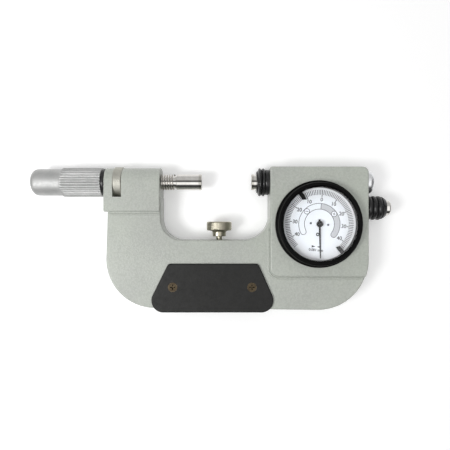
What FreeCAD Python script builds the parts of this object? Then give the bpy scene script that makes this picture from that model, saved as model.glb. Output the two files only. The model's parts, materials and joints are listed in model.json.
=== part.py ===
import FreeCAD, Part
import math
import os

# An indicating snap gauge, lying on its back. Lengths are in millimetres, angles in degrees.
# X runs along the measuring axis from the spindle to the anvil, Y points from the grip to
# the measuring axis, and Z points out of the dial. The origin is the centre of the anvil's
# measuring face at rest.

V = FreeCAD.Vector

# Fits
running_fit = 0.03
seat_fit = 0.02
side_play = 0.1
contact_gap = 0.05

# How far a cutting shape runs past the piece that it cuts
past = 1.0

# Measuring gap and spindle
gap = 24.5
spindle_r = 4.0
spindle_length = 77.5
spindle_reach = 20.2
spindle_smooth = 12.5
relief_width = 0.6
relief_depth = 0.5
tip_thickness = 1.5
tip_chamfer = 0.2
keyway_length = 29.0
key_r = 1.0
key_depth = 0.9
key_from_face = 9.3

# Casting
half_block = 7.1
half_web = 5.85
axis_to_top = 7.05
top_round = 7.0
edge_round = 0.8
head_length = 27.1
head_depth = 14.8
leg_setback = 1.95
leg_flare = 1.7
leg_width = 25.65
bar_top_depth = 28.6
bar_height = 34.4
bottom_rise = 1.6
outer_round_left = 23.75
outer_round_right = 24.3
inner_round_left = 10.4
inner_round_right = 12.5
housing_left = 8.9
housing_width = 47.7
housing_depth = 46.4
housing_corner = 4.3
housing_top_corner = 3.0

# Adjusting nut and its slot
nut_r = 7.55
nut_width = 4.2
nut_chamfer = 0.25
nut_wall = 4.2
slot_floor_gap = 0.15

# Clamping cap, its seal and the slotted collet
cap_length = 35.4
cap_grip_length = 19.8
cap_grip_r = 7.2
cap_nose_r = 6.6
cap_end_round = 3.0
cap_dome = 0.5
cap_bore_end = 3.0
cap_inner_r = 4.6
flute_count = 32
flute_depth = 0.35
seal_width = 1.8
seal_r = 6.8
seal_round_share = 0.45
collet_r = 5.6
collet_bore_gap = 0.05
collet_length = 22.0
collet_taper = 3.0
collet_taper_drop = 0.6
collet_slots = 4
collet_slot_width = 0.8
collet_slot_length = 13.0

# Grip plates
plate_proud = 1.2
plate_pocket = 1.0
plate_lip = 1.6
plate_height = 23.5
plate_top_left = -40.5
plate_top_right = 3.1
plate_foot_left = -52.2
plate_foot_right = 13.6
plate_round = 1.8
plate_foot_round = 5.8
plate_edge_round = 0.5
plate_screw_rise = 12.25
plate_screw_left = -38.3
plate_screw_right = 0.0
plate_screw_head_r = 2.25
plate_screw_head_height = 1.3
plate_screw_r = 1.1
plate_screw_length = 5.5
plate_screw_sink = 0.1
plate_recess_length = 2.6
plate_recess_width = 0.6
plate_recess_depth = 0.9

# Stop screw
stop_x = -15.9
stop_lift = 1.7
stop_head_r = 6.25
stop_head_height = 4.5
stop_head_chamfer = 0.5
stop_collar_r = 3.35
stop_collar_height = 2.8
stop_stem_r = 1.5
stop_stem_length = 11.8
stop_hole_extra = 2.5

# Dial place, chamber and rear cover
dial_x = 32.3
dial_depth = 20.85
chamber_r = 18.4
chamber_back_r = 16.0
bezel_seat_r = 19.6
bezel_seat_depth = 1.5
cover_r = 20.2
cover_thickness = 1.1
cover_screw_circle = 18.1
cover_screw_count = 4
cover_screw_head_r = 1.5
cover_screw_r = 0.9
cover_screw_length = 4.0
cover_recess_length = 1.7
cover_recess_width = 0.4
cover_recess_depth = 0.45
gasket_thickness = 0.3

# Anvil shaft, bushes, collar and spring
anvil_r = 4.0
anvil_tip_thickness = 1.2
anvil_head_end = 3.6
anvil_shaft_r = 3.0
anvil_shaft_end = 52.0
shaft_bore_r = 4.5
anvil_stroke = 2.0
bush_length = 9.8
bush_nose_r = 4.9
bush_nose_length = 2.0
right_bush_start = 46.0
right_bush_length = 6.0
collar_start = 34.0
collar_width = 2.0
collar_r = 4.3
spring_wire_r = 0.35
spring_turns = 5.0
wire_sides = 12
end_cap_r = 5.9
end_cap_reach = 3.9
end_cap_plug = 2.6
end_cap_round = 2.6

# Anvil bellows: neck, two ribs and a flange
bellows_start = 2.55
bellows_neck_r = 5.4
bellows_rib_r = 7.0
bellows_valley_r = 6.45
bellows_flange_r = 6.3
bellows_flange_width = 2.1
bellows_wall = 0.8
bellows_ribs = 2
bellows_neck_length = 0.7
bellows_neck_flare = 0.4
bellows_grip_length = 0.9
bellows_rib_start = 0.8
bellows_round = 0.3

# Share of a rib's pitch at which its foot and its shoulder lie, and the shoulder's radius
rib_foot = 0.1
rib_shoulder = 0.3
rib_bend = 0.2

# Retracting button
button_depth = 12.8
button_reach = 12.3
button_r = 3.85
button_height = 3.6
button_round = 1.0
button_stem_r = 1.5
button_bush_r = 3.0
button_nose_r = 3.7
button_nose_length = 2.4
button_spring_r = 2.45
button_spring_wire_r = 0.3
button_spring_turns = 5.0
button_bellows_r = 6.0
button_bellows_valley_r = 5.25
button_bellows_length = 9.8
button_bellows_foot_r = 5.5
button_bellows_foot_length = 0.4
button_bellows_collar_r = 5.9
button_bellows_collar_round = 0.5
button_bellows_taper = 2.6
button_bellows_shoulder_r = 5.0
button_bellows_shoulder_length = 0.6
button_bellows_end_r = 4.4
button_ribs = 3

# Retracting lever, turning about a pin midway between the two axes
lever_half_swing = 9.0
lever_tip_r = 0.9
lever_arm_half = 0.75
lever_prong_half = 0.5
lever_arm_back = 0.4
lever_hub_r = 2.0
lever_half_thickness = 1.4
lever_prong_gap = 0.3
lever_prong_thickness = 1.0
lever_bridge_width = 1.0
lever_pin_r = 0.75
lever_pin_head_r = 1.2
lever_pin_head_height = 0.4

# Milled window between the chamber and the shaft's bore
window_left = 20.8
window_right = 41.0
window_depth = 8.0
window_rise = 1.2
window_half = 4.7

# Movement plates and pillars
plate_thickness_low = 1.0
plate_thickness_high = 0.8
plate_spacing = 2.8
plate_flat_depth = 6.8
high_plate_r = 16.0
pillar_r = 1.1
pillar_solid_length = 0.9
pillar_circle = 14.6
pillar_angles = (-154.0, -26.0, 48.0)
screw_head_height = 0.55
pillar_screw_head_r = 1.0
pillar_screw_r = 0.5
ledge_screw_circle = 17.2
ledge_screw_angles = (150.0, -95.0, -5.0)
ledge_screw_r = 0.5
ledge_screw_head_r = 0.9
ledge_screw_length = 2.6
movement_slot_width = 0.25
movement_slot_depth = 0.25
boss_r = 1.0

# Gears
module = 0.3
addendum_share = 0.8
dedendum_share = 1.25
backlash = 0.1
flank_angle = 20.0
pointer_pinion_teeth = 12
wheel_teeth = 48
idler_pinion_teeth = 14
sector_teeth = 100
sector_first_tooth = -2
sector_last_tooth = 5
pointer_sweep = 330.0
feeler_depth = 5.0
sector_x = 24.5
sector_thickness = 0.8
sector_lift = 0.5
sector_hub_r = 1.7
sector_arm_half = 1.1
feeler_arm_half = 0.9
sector_rim = 2.6
wheel_thickness = 0.5
wheel_gap = 0.4
wheel_rim = 1.4
wheel_hub_r = 2.2
wheel_spoke_half = 0.5
wheel_spokes = 4
arbor_r = 0.6
pivot_r = 0.35
feeler_r = 0.6
peg_r = 0.75

# Hairspring below the lower plate
hairspring_turns = 4
hairspring_inner_r = 1.0
hairspring_outer_r = 4.6
hairspring_strip = 0.12
hairspring_height = 0.5
hairspring_drop = 0.6
stud_r = 0.45

# Dial, pointer, markers, crystal and bezel
dial_turn = -5.5
dial_plate_r = 18.2
dial_thickness = 0.5
dial_lift = 0.2
dial_to_screws = 0.25
dial_screw_circle = 4.2
dial_screw_head_r = 0.5
dial_screw_head_height = 0.2
dial_screw_r = 0.35
track_inner_r = 17.5
track_height = 2.3
groove_depth = 0.45
groove_height = 0.8
marker_length = 3.2
marker_width = 1.6
marker_point = 0.6
marker_blade = 0.3
marker_shoe = 9.0
marker_low_angle = -32.0
marker_high_angle = 141.5
pointer_angle = 178.6
pointer_length = 16.4
pointer_tail = 2.2
pointer_hub_r = 1.5
pointer_hub_height = 0.9
pointer_base_half = 0.45
pointer_tip_half = 0.2
pointer_blade = 0.2
pointer_lift = 0.4
crystal_thickness = 1.0
bezel_r = 21.1
bezel_base_height = 1.3
bezel_waist_r = 20.3
bezel_crown_r = 19.7
bezel_opening_r = 17.7
bezel_lip = 0.7
bezel_round = 0.7
bezel_skirt_height = 0.9
bezel_bore_gap = 0.1
bezel_seal_width = 0.9

# Places that follow from the sizes
head_right = -(gap + spindle_reach)
head_left = head_right - head_length
leg_left = head_left + leg_setback
leg_foot = leg_left - leg_flare
leg_right = leg_left + leg_width
frame_bottom = -(bar_top_depth + bar_height)
housing_right = housing_left + housing_width
bottom_slope = bottom_rise / (housing_right - leg_foot)
plate_middle = (plate_foot_left + plate_foot_right) / 2
plate_bottom = frame_bottom + bottom_slope * (housing_right - plate_middle) - plate_lip
plate_top = plate_bottom + plate_height
plate_screw_y = plate_bottom + plate_screw_rise
nut_slot_left = head_left + nut_wall
nut_slot_right = nut_slot_left + nut_width + 2 * side_play
dial_y = -dial_depth
cover_floor = -half_block + cover_thickness + gasket_thickness
dial_z = half_block + dial_lift
dial_top = dial_z + dial_thickness
plate_high_top = dial_z - dial_to_screws - screw_head_height
plate_high_z = plate_high_top - plate_thickness_high
plate_low_top = plate_high_z - plate_spacing
ledge_z = plate_low_top - plate_thickness_low
track_z = dial_top + contact_gap
track_top = track_z + track_height
crystal_z = track_top + contact_gap
crystal_top = crystal_z + crystal_thickness
bezel_top = crystal_top + contact_gap + bezel_lip
lever_y = -button_depth / 2
lever_arm = button_depth / 2
lever_swing_x = lever_arm * math.sin(math.radians(lever_half_swing))
lever_x = collar_start - contact_gap - lever_tip_r + lever_swing_x
stem_end = lever_x + lever_swing_x + lever_tip_r + contact_gap
button_end = housing_right + button_reach
button_back = button_end - button_height
gear_ratio = (sector_teeth / idler_pinion_teeth) * (wheel_teeth / pointer_pinion_teeth)
feeler_arm = anvil_stroke * gear_ratio / math.radians(pointer_sweep)
sector_y = -feeler_depth - feeler_arm
sector_z = plate_low_top + sector_lift
sector_radius = module * sector_teeth / 2
idler_reach = module * (sector_teeth + idler_pinion_teeth) / 2
wheel_reach = module * (wheel_teeth + pointer_pinion_teeth) / 2
wheel_z = sector_z + sector_thickness + wheel_gap
peg_x = sector_x - feeler_r - peg_r - contact_gap


def meeting_point(x1, y1, reach1, x2, y2, reach2):
    """Point at reach1 from the first centre and reach2 from the second, on the grip's side."""
    span = math.hypot(x2 - x1, y2 - y1)
    along = (span**2 + reach1**2 - reach2**2) / (2 * span)
    across = math.sqrt(reach1**2 - along**2)
    ux = (x2 - x1) / span
    uy = (y2 - y1) / span
    return x1 + along * ux + across * uy, y1 + along * uy - across * ux


idler_x, idler_y = meeting_point(sector_x, sector_y, idler_reach, dial_x, dial_y, wheel_reach)


def rounded_wire(corners):
    """Closed outline through corners (a, b) or (a, b, radius)."""
    places = [V(c[0], c[1], 0) for c in corners]
    bends = []
    for i, corner in enumerate(corners):
        place = places[i]
        radius = corner[2] if len(corner) > 2 else 0
        if radius <= 0:
            bends.append((place, None, place))
            continue
        back = (places[i - 1] - place).normalize()
        ahead = (places[(i + 1) % len(places)] - place).normalize()
        half_angle = back.getAngle(ahead) / 2
        inward = (back + ahead).normalize()
        reach = radius / math.tan(half_angle)
        middle = place + inward * (radius / math.sin(half_angle) - radius)
        bends.append((place + back * reach, middle, place + ahead * reach))
    edges = []
    for i, (start, middle, end) in enumerate(bends):
        previous_end = bends[i - 1][2]
        if previous_end.distanceToPoint(start) > 1e-6:
            edges.append(Part.makeLine(previous_end, start))
        if middle is not None:
            edges.append(Part.Arc(start, middle, end).toShape())
    return Part.Wire(edges)


def outward(solid):
    """The solid with its faces pointing out."""
    if solid.Volume < 0:
        solid.reverse()
    return solid


def prism(corners, z_low, z_high):
    solid = Part.Face(rounded_wire(corners)).extrude(V(0, 0, z_high - z_low))
    solid.translate(V(0, 0, z_low))
    return outward(solid)


def turned_x(corners, y=0.0, z=0.0):
    """Solid turned about a line along X, from corners (x, radius)."""
    solid = Part.Face(rounded_wire(corners)).revolve(V(0, 0, 0), V(1, 0, 0), 360)
    solid.translate(V(0, y, z))
    return outward(solid)


def turned_y(corners, x=0.0, z=0.0):
    """Solid turned about a line along Y, from corners (radius, y)."""
    solid = Part.Face(rounded_wire(corners)).revolve(V(0, 0, 0), V(0, 1, 0), 360)
    solid.translate(V(x, 0, z))
    return outward(solid)


def turned_z(corners, x=0.0, y=0.0):
    """Solid turned about a line along Z, from corners (radius, z)."""
    solid = Part.Face(rounded_wire(corners)).revolve(V(0, 0, 0), V(0, 1, 0), 360)
    solid.rotate(V(0, 0, 0), V(1, 0, 0), 90)
    solid.translate(V(x, y, 0))
    return outward(solid)


def rod_x(x_start, x_end, radius, y=0.0, z=0.0):
    return Part.makeCylinder(radius, x_end - x_start, V(x_start, y, z), V(1, 0, 0))


def rod_y(y_start, y_end, radius, x=0.0, z=0.0):
    return Part.makeCylinder(radius, y_end - y_start, V(x, y_start, z), V(0, 1, 0))


def rod_z(z_start, z_end, radius, x=0.0, y=0.0):
    return Part.makeCylinder(radius, z_end - z_start, V(x, y, z_start), V(0, 0, 1))


def block(x0, x1, y0, y1, z0, z1):
    return Part.makeBox(x1 - x0, y1 - y0, z1 - z0, V(x0, y0, z0))


def on_circle(circle, angle, x=dial_x, y=dial_y):
    """Point on a circle about the dial's centre, angle counted from +X towards +Y."""
    return x + circle * math.cos(math.radians(angle)), y + circle * math.sin(math.radians(angle))


def round_face_edges(solid, height, radius):
    """Rounds the outline of the two faces that lie at plus and minus this height."""
    rim = [
        edge
        for edge in solid.Edges
        if all(abs(abs(vertex.Point.z) - height) < 1e-6 for vertex in edge.Vertexes)
    ]
    return solid.makeFillet(radius, rim)


def head_block():
    """Head of the casting: a bar along X with its top rounded over the spindle."""
    section = [
        (-half_block, -head_depth, edge_round),
        (half_block, -head_depth, edge_round),
        (half_block, axis_to_top, top_round),
        (-half_block, axis_to_top, top_round),
    ]
    bar = prism(section, 0, head_length)
    bar.rotate(V(0, 0, 0), V(0, 1, 0), 90)
    bar.translate(V(head_left, 0, 0))
    ends = [
        edge
        for edge in bar.Edges
        if max(v.Point.x for v in edge.Vertexes) - min(v.Point.x for v in edge.Vertexes) < 1e-6
    ]
    return bar.makeFillet(edge_round / 2, ends)


def housing_block():
    """Housing of the movement, bounded below by the frame's outer curve."""
    outline = [
        (housing_left, axis_to_top, edge_round),
        (housing_left, -housing_depth, housing_corner),
        (housing_right + past, -housing_depth),
        (housing_right + past, axis_to_top),
    ]
    envelope = [
        (housing_left - past, axis_to_top),
        (housing_left - past, bottom_at(housing_left - past)),
        (housing_right, frame_bottom, outer_round_right),
        (housing_right, axis_to_top, housing_top_corner),
    ]
    body = prism(outline, -half_block, half_block)
    body = body.common(prism(envelope, -half_block, half_block)).Solids[0]
    return round_face_edges(body, half_block, edge_round)


def bottom_at(x):
    """Height of the casting's lower edge, which rises towards the leg."""
    return frame_bottom + bottom_slope * (housing_right - x)


def web():
    """Leg, corner and lower bar of the C, all one thickness."""
    outline = [
        (leg_left, -head_depth / 2),
        (leg_foot, bottom_at(leg_foot), outer_round_left),
        (housing_right, frame_bottom, outer_round_right),
        (housing_right, -head_depth),
        (housing_left, -head_depth),
        (housing_left, -bar_top_depth, inner_round_right),
        (leg_right, -bar_top_depth, inner_round_left),
        (leg_right, -head_depth / 2),
    ]
    return round_face_edges(prism(outline, -half_web, half_web), half_web, edge_round)


def plate_outline(margin=0.0):
    """Corners of a grip plate, grown by a margin all round."""
    return [
        (plate_top_left - margin, plate_top + margin, plate_round),
        (plate_foot_left - margin, plate_bottom - margin, plate_foot_round),
        (plate_foot_right + margin, plate_bottom - margin, plate_foot_round),
        (plate_top_right + margin, plate_top + margin, plate_round),
    ]


def mirrored(solid):
    return outward(solid.mirror(V(0, 0, 0), V(0, 0, 1)))


def cross_recess(length, width, depth):
    """Two crossed slots that taper inwards from their mouth at z = 0."""
    half = length / 2
    corners = [(-half, 0), (half, 0), (half / 2, -depth), (-half / 2, -depth)]
    slot = prism(corners, -width / 2, width / 2)
    slot.rotate(V(0, 0, 0), V(1, 0, 0), 90)
    across = slot.copy()
    across.rotate(V(0, 0, 0), V(0, 0, 1), 90)
    return slot.fuse(across)


def plate_screw(gap_round=0.0):
    """Countersunk screw at the origin, its head's top at z = 0; gap_round widens it for the hole."""
    head = plate_screw_head_r + gap_round
    shank = plate_screw_r + gap_round
    profile = [
        (0, 0),
        (head, 0),
        (shank, -plate_screw_head_height),
        (shank, -plate_screw_length - gap_round),
        (0, -plate_screw_length - gap_round),
    ]
    return turned_z(profile)


def at(solid, x, y, z):
    moved = solid.copy()
    moved.translate(V(x, y, z))
    return moved


plate_face = half_web + plate_proud
plate_floor = half_web - plate_pocket
plate_screw_top = plate_face - plate_screw_sink
plate_screw_places = [(plate_screw_left, plate_screw_y), (plate_screw_right, plate_screw_y)]


def frame_casting():
    body = head_block().fuse(web()).fuse(housing_block())
    cuts = [
        block(
            nut_slot_left,
            nut_slot_right,
            -nut_r - slot_floor_gap,
            axis_to_top + past,
            -half_block - past,
            half_block + past,
        ),
        rod_x(head_left - past, nut_slot_left, collet_r + seat_fit),
        rod_x(nut_slot_left, head_right + past, spindle_r + running_fit),
        rod_x(housing_left - past, housing_right + past, shaft_bore_r),
        rod_x(dial_x, housing_right + past, button_bush_r + seat_fit, -button_depth),
        rod_z(cover_floor, ledge_z, chamber_back_r, dial_x, dial_y),
        rod_z(ledge_z, half_block + past, chamber_r, dial_x, dial_y),
        rod_z(half_block - bezel_seat_depth, half_block + past, bezel_seat_r, dial_x, dial_y),
        rod_z(-half_block - past, cover_floor, cover_r + side_play, dial_x, dial_y),
        block(window_left, window_right, -window_depth, window_rise, -window_half, window_half),
        rod_y(
            -bar_top_depth + stop_lift - stop_stem_length - stop_hole_extra,
            -bar_top_depth + past,
            stop_stem_r + running_fit,
            stop_x,
        ),
        rod_z(-half_block - past, -spindle_r + key_depth, key_r + seat_fit, head_right - key_from_face),
    ]
    pocket = prism(plate_outline(side_play), plate_floor, half_block + past)
    cuts += [pocket, mirrored(pocket)]
    for x, y in plate_screw_places:
        hole = at(plate_screw(seat_fit), x, y, plate_screw_top)
        cuts += [hole, mirrored(hole)]
    hole_end = -half_block + cover_screw_length + seat_fit
    for x, y in cover_screw_places():
        cuts.append(rod_z(cover_floor - past, hole_end, cover_screw_r + seat_fit, x, y))
    hole_end = plate_low_top - ledge_screw_length - seat_fit
    for angle in ledge_screw_angles:
        x, y = on_circle(ledge_screw_circle, angle)
        cuts.append(rod_z(hole_end, ledge_z + past, ledge_screw_r + seat_fit, x, y))
    return body.cut(cuts).removeSplitter()


def grip_plate():
    """Front plate; its lip wraps under the bar as far as the middle."""
    shell = prism(plate_outline(), 0, plate_face)
    face_edges = [
        edge for edge in shell.Edges if all(abs(v.Point.z - plate_face) < 1e-6 for v in edge.Vertexes)
    ]
    shell = shell.makeFillet(plate_edge_round, face_edges)
    left = plate_foot_left - past
    right = plate_foot_right + past
    inside = plate_floor + seat_fit
    bar_section = [
        (left, bottom_at(left) - seat_fit),
        (right, bottom_at(right) - seat_fit),
        (right, plate_top + past),
        (left, plate_top + past),
    ]
    shell = shell.cut(prism(bar_section, -past, inside))
    shell = shell.cut(block(left, right, plate_bottom - past, plate_top + past, -past, contact_gap))
    for x, y in plate_screw_places:
        shell = shell.cut(at(plate_screw(side_play), x, y, plate_screw_top + seat_fit))
        shell = shell.cut(rod_z(plate_screw_top, plate_face + past, plate_screw_head_r + side_play, x, y))
    return shell


def grip_plate_screws():
    recess = cross_recess(plate_recess_length, plate_recess_width, plate_recess_depth)
    screw = plate_screw().cut(recess)
    screws = [at(screw, x, y, plate_screw_top) for x, y in plate_screw_places]
    return Part.makeCompound(screws + [mirrored(placed) for placed in screws])


def spindle():
    """Non-rotating spindle with its keyway on the rear side; the thread's run-out is a groove."""
    end = -gap - tip_thickness
    start = -gap - spindle_length
    relief = -gap - spindle_smooth
    profile = [
        (start, 0),
        (start, spindle_r - relief_depth),
        (start + relief_depth, spindle_r),
        (relief - relief_width, spindle_r),
        (relief - relief_width, spindle_r - relief_depth),
        (relief, spindle_r - relief_depth),
        (relief, spindle_r),
        (end, spindle_r),
        (end, 0),
    ]
    key_x = head_right - key_from_face
    keyway_left = key_x - keyway_length + 2 * key_r
    keyway_right = key_x + 3 * key_r
    keyway = block(
        keyway_left,
        keyway_right,
        -key_r - running_fit,
        key_r + running_fit,
        -spindle_r - past,
        -spindle_r + key_depth + side_play,
    )
    return turned_x(profile).cut(keyway)


def spindle_tip():
    profile = [
        (-gap - tip_thickness, 0),
        (-gap - tip_thickness, spindle_r),
        (-gap - tip_chamfer, spindle_r),
        (-gap, spindle_r - tip_chamfer),
        (-gap, 0),
    ]
    return turned_x(profile)


def spindle_key():
    """Slotless dowel from the head's back; its end runs in the spindle's keyway."""
    return rod_z(-half_block + seat_fit, -spindle_r + key_depth, key_r, head_right - key_from_face)


def adjusting_nut():
    start = nut_slot_left + side_play
    end = start + nut_width
    profile = [
        (start, spindle_r + running_fit),
        (start, nut_r - nut_chamfer),
        (start + nut_chamfer, nut_r),
        (end - nut_chamfer, nut_r),
        (end, nut_r - nut_chamfer),
        (end, spindle_r + running_fit),
    ]
    return turned_x(profile)


def cap_seal_ring():
    start = head_left - seal_width
    inner = collet_r + seat_fit
    corner = (seal_r - inner) * seal_round_share
    profile = [
        (start + contact_gap, inner, corner),
        (start + contact_gap, seal_r, corner),
        (head_left - contact_gap, seal_r, corner),
        (head_left - contact_gap, inner, corner),
    ]
    return turned_x(profile)


def clamp_collet():
    """Sleeve pressed into the head's rear wall, slotted behind to close on the spindle."""
    end = nut_slot_left - contact_gap
    start = end - collet_length
    inner = spindle_r + collet_bore_gap
    profile = [
        (start, inner),
        (start, collet_r - collet_taper_drop),
        (start + collet_taper, collet_r),
        (end, collet_r),
        (end, inner),
    ]
    sleeve = turned_x(profile)
    half = collet_slot_width / 2
    reach = collet_r + past
    for i in range(collet_slots // 2):
        slot = block(start - past, start + collet_slot_length, -half, half, -reach, reach)
        slot.rotate(V(0, 0, 0), V(1, 0, 0), i * 360 / collet_slots + 45)
        sleeve = sleeve.cut(slot)
    return sleeve


def clamp_cap():
    """Cap over the spindle's rear end: fluted grip, smooth domed nose."""
    front = head_left - seal_width
    back = front - cap_length
    grip_back = front - cap_grip_length
    nose = turned_x(
        [
            (back, 0),
            (back + cap_dome, cap_nose_r, cap_end_round),
            (grip_back, cap_nose_r),
            (grip_back, 0),
        ]
    )
    corners = []
    for i in range(flute_count):
        for share, radius in ((-0.3, cap_grip_r), (0.3, cap_grip_r), (0.5, cap_grip_r - flute_depth)):
            angle = 2 * math.pi * (i + share) / flute_count
            corners.append((radius * math.cos(angle), radius * math.sin(angle)))
    grip = prism(corners, 0, cap_grip_length)
    grip.rotate(V(0, 0, 0), V(0, 1, 0), 90)
    grip.translate(V(grip_back, 0, 0))
    collet_end = nut_slot_left - contact_gap - collet_length
    bore = rod_x(back + cap_bore_end, front + past, cap_inner_r)
    seat = turned_x(
        [
            (collet_end, 0),
            (collet_end, collet_r - collet_taper_drop + running_fit),
            (collet_end + collet_taper, collet_r + running_fit),
            (front + past, collet_r + running_fit),
            (front + past, 0),
        ]
    )
    return nose.fuse(grip).cut([bore, seat])


def stop_screw():
    bottom = -bar_top_depth + stop_lift
    collar_top = bottom + stop_collar_height
    top = collar_top + stop_head_height
    profile = [
        (0, bottom - stop_stem_length),
        (stop_stem_r, bottom - stop_stem_length),
        (stop_stem_r, bottom),
        (stop_collar_r, bottom),
        (stop_collar_r, collar_top),
        (stop_head_r - stop_head_chamfer, collar_top),
        (stop_head_r, collar_top + stop_head_chamfer),
        (stop_head_r, top - stop_head_chamfer),
        (stop_head_r - stop_head_chamfer, top),
        (0, top),
    ]
    return turned_y(profile, stop_x)


def cover_screw_places():
    step = 360 / cover_screw_count
    return [on_circle(cover_screw_circle, step * (i + 0.5)) for i in range(cover_screw_count)]


def cover_screw(gap_round=0.0):
    """Countersunk screw at the origin with its head's face at z = 0, driven towards +Z."""
    head = cover_screw_head_r + gap_round
    shank = cover_screw_r + gap_round
    depth = cover_screw_head_r - cover_screw_r
    end = cover_screw_length
    return turned_z([(0, 0), (head, 0), (shank, depth), (shank, end), (0, end)])


def rear_cover():
    disc = rod_z(-half_block + seat_fit, -half_block + cover_thickness, cover_r, dial_x, dial_y)
    for x, y in cover_screw_places():
        disc = disc.cut(at(cover_screw(side_play), x, y, -half_block))
    return disc


def rear_cover_screws():
    recess = cross_recess(cover_recess_length, cover_recess_width, cover_recess_depth)
    screw = cover_screw().cut(mirrored(recess))
    face = -half_block + seat_fit
    return Part.makeCompound([at(screw, x, y, face) for x, y in cover_screw_places()])


def rear_cover_gasket():
    low = -half_block + cover_thickness + seat_fit
    high = cover_floor - seat_fit
    ring = rod_z(low, high, cover_r - side_play, dial_x, dial_y)
    ring = ring.cut(rod_z(low - past, high + past, chamber_back_r + side_play, dial_x, dial_y))
    for x, y in cover_screw_places():
        ring = ring.cut(rod_z(low - past, high + past, cover_screw_r + side_play, x, y))
    return ring


def anvil_tip():
    profile = [
        (0, 0),
        (0, anvil_r - tip_chamfer),
        (tip_chamfer, anvil_r),
        (anvil_tip_thickness, anvil_r),
        (anvil_tip_thickness, 0),
    ]
    return turned_x(profile)


def anvil_shaft():
    profile = [
        (anvil_tip_thickness, 0),
        (anvil_tip_thickness, anvil_r),
        (anvil_head_end, anvil_r),
        (anvil_head_end, anvil_shaft_r),
        (anvil_shaft_end, anvil_shaft_r),
        (anvil_shaft_end, 0),
    ]
    hole = rod_y(-anvil_shaft_r - past, -peg_r - seat_fit, peg_r + seat_fit, peg_x)
    return turned_x(profile).cut(hole)


def anvil_peg():
    """Peg under the shaft that pushes the sector's feeler."""
    return rod_y(-feeler_depth - peg_r - feeler_r, -peg_r - 2 * seat_fit, peg_r, peg_x)


def anvil_collar():
    inner = anvil_shaft_r + seat_fit
    end = collar_start + collar_width
    return turned_x([(collar_start, inner), (collar_start, collar_r), (end, collar_r), (end, inner)])


def anvil_bush_left():
    inner = anvil_shaft_r + running_fit
    start = housing_left - bush_nose_length
    profile = [
        (start, inner),
        (start, bush_nose_r),
        (housing_left - seat_fit, bush_nose_r),
        (housing_left - seat_fit, shaft_bore_r - seat_fit),
        (housing_left + bush_length, shaft_bore_r - seat_fit),
        (housing_left + bush_length, inner),
    ]
    return turned_x(profile)


def anvil_bush_right():
    inner = anvil_shaft_r + running_fit
    outer = shaft_bore_r - seat_fit
    end = right_bush_start + right_bush_length
    return turned_x([(right_bush_start, inner), (right_bush_start, outer), (end, outer), (end, inner)])


def coil(x_start, x_end, mean_r, wire_r, turns, y=0.0):
    """Compression spring along X, with the wire's centre at mean_r and a many-sided section."""
    height = x_end - x_start - 2 * wire_r
    helix = Part.makeHelix(height / turns, height, mean_r)
    corners = []
    for i in range(wire_sides + 1):
        angle = 2 * math.pi * i / wire_sides
        corners.append(V(mean_r + wire_r * math.cos(angle), 0, wire_r * math.sin(angle)))
    wire = Part.Wire(helix).makePipeShell([Part.makePolygon(corners)], True, True)
    wire.rotate(V(0, 0, 0), V(0, 1, 0), 90)
    wire.translate(V(x_start + wire_r, y, 0))
    return outward(wire)


def anvil_spring():
    start = collar_start + collar_width + contact_gap
    mean = (anvil_shaft_r + shaft_bore_r) / 2
    return coil(start, right_bush_start - contact_gap, mean, spring_wire_r, spring_turns)


def anvil_end_cap():
    """Domed plug that closes the shaft's bore on the right."""
    inner = anvil_shaft_r + side_play
    plug_start = housing_right - end_cap_plug
    end = housing_right + end_cap_reach
    profile = [
        (plug_start, inner),
        (plug_start, shaft_bore_r - seat_fit),
        (housing_right + seat_fit, shaft_bore_r - seat_fit),
        (housing_right + seat_fit, end_cap_r),
        (end, end_cap_r, end_cap_round),
        (end, 0),
        (housing_right + anvil_stroke / 2, 0),
        (housing_right + anvil_stroke / 2, inner),
    ]
    return turned_x(profile)


def rib_corners(start, pitch, ribs, rib_r, valley_r):
    """Outer corners of a bellows' rounded ribs, as (x, radius)."""
    corners = []
    for i in range(ribs):
        left = start + i * pitch
        right = left + pitch
        corners += [
            (left + rib_foot * pitch, valley_r),
            (left + rib_shoulder * pitch, rib_r, rib_bend * pitch),
            (right - rib_shoulder * pitch, rib_r, rib_bend * pitch),
            (right - rib_foot * pitch, valley_r),
        ]
    return corners


def anvil_bellows():
    """Neck on the shaft's head, two ribs, and a flange on the bush's nose."""
    grip = anvil_r + seat_fit
    seat = bush_nose_r + seat_fit
    flange_start = housing_left - bellows_flange_width
    flange_end = housing_left - seat_fit
    neck_end = bellows_start + bellows_neck_length
    ribs_start = bellows_start + bellows_rib_start
    pitch = (flange_start - ribs_start) / bellows_ribs
    outer = [
        (bellows_start, grip),
        (bellows_start, bellows_neck_r, bellows_round),
        (neck_end, bellows_neck_r + bellows_neck_flare, bellows_round),
    ]
    outer += rib_corners(ribs_start, pitch, bellows_ribs, bellows_rib_r, bellows_valley_r)
    outer += [(flange_start, bellows_flange_r), (flange_end, bellows_flange_r, bellows_round)]
    inner = [(bellows_start + bellows_grip_length, grip)]
    for i in range(bellows_ribs):
        left = ribs_start + i * pitch
        inner.append((left + pitch / 2, bellows_rib_r - bellows_wall))
        if i < bellows_ribs - 1:
            inner.append((left + pitch, bellows_valley_r - bellows_wall))
    inner += [(housing_left - bush_nose_length - side_play, seat), (flange_end, seat)]
    return turned_x(outer + inner[::-1])


def button_bush():
    inner = button_stem_r + running_fit
    drop = dial_depth - button_depth - button_bush_r
    chamber_wall = dial_x + math.sqrt(chamber_r**2 - drop**2) + side_play
    profile = [
        (chamber_wall, inner),
        (chamber_wall, button_bush_r),
        (housing_right + seat_fit, button_bush_r),
        (housing_right + seat_fit, button_nose_r),
        (housing_right + button_nose_length, button_nose_r),
        (housing_right + button_nose_length, inner),
    ]
    return turned_x(profile, -button_depth)


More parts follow.
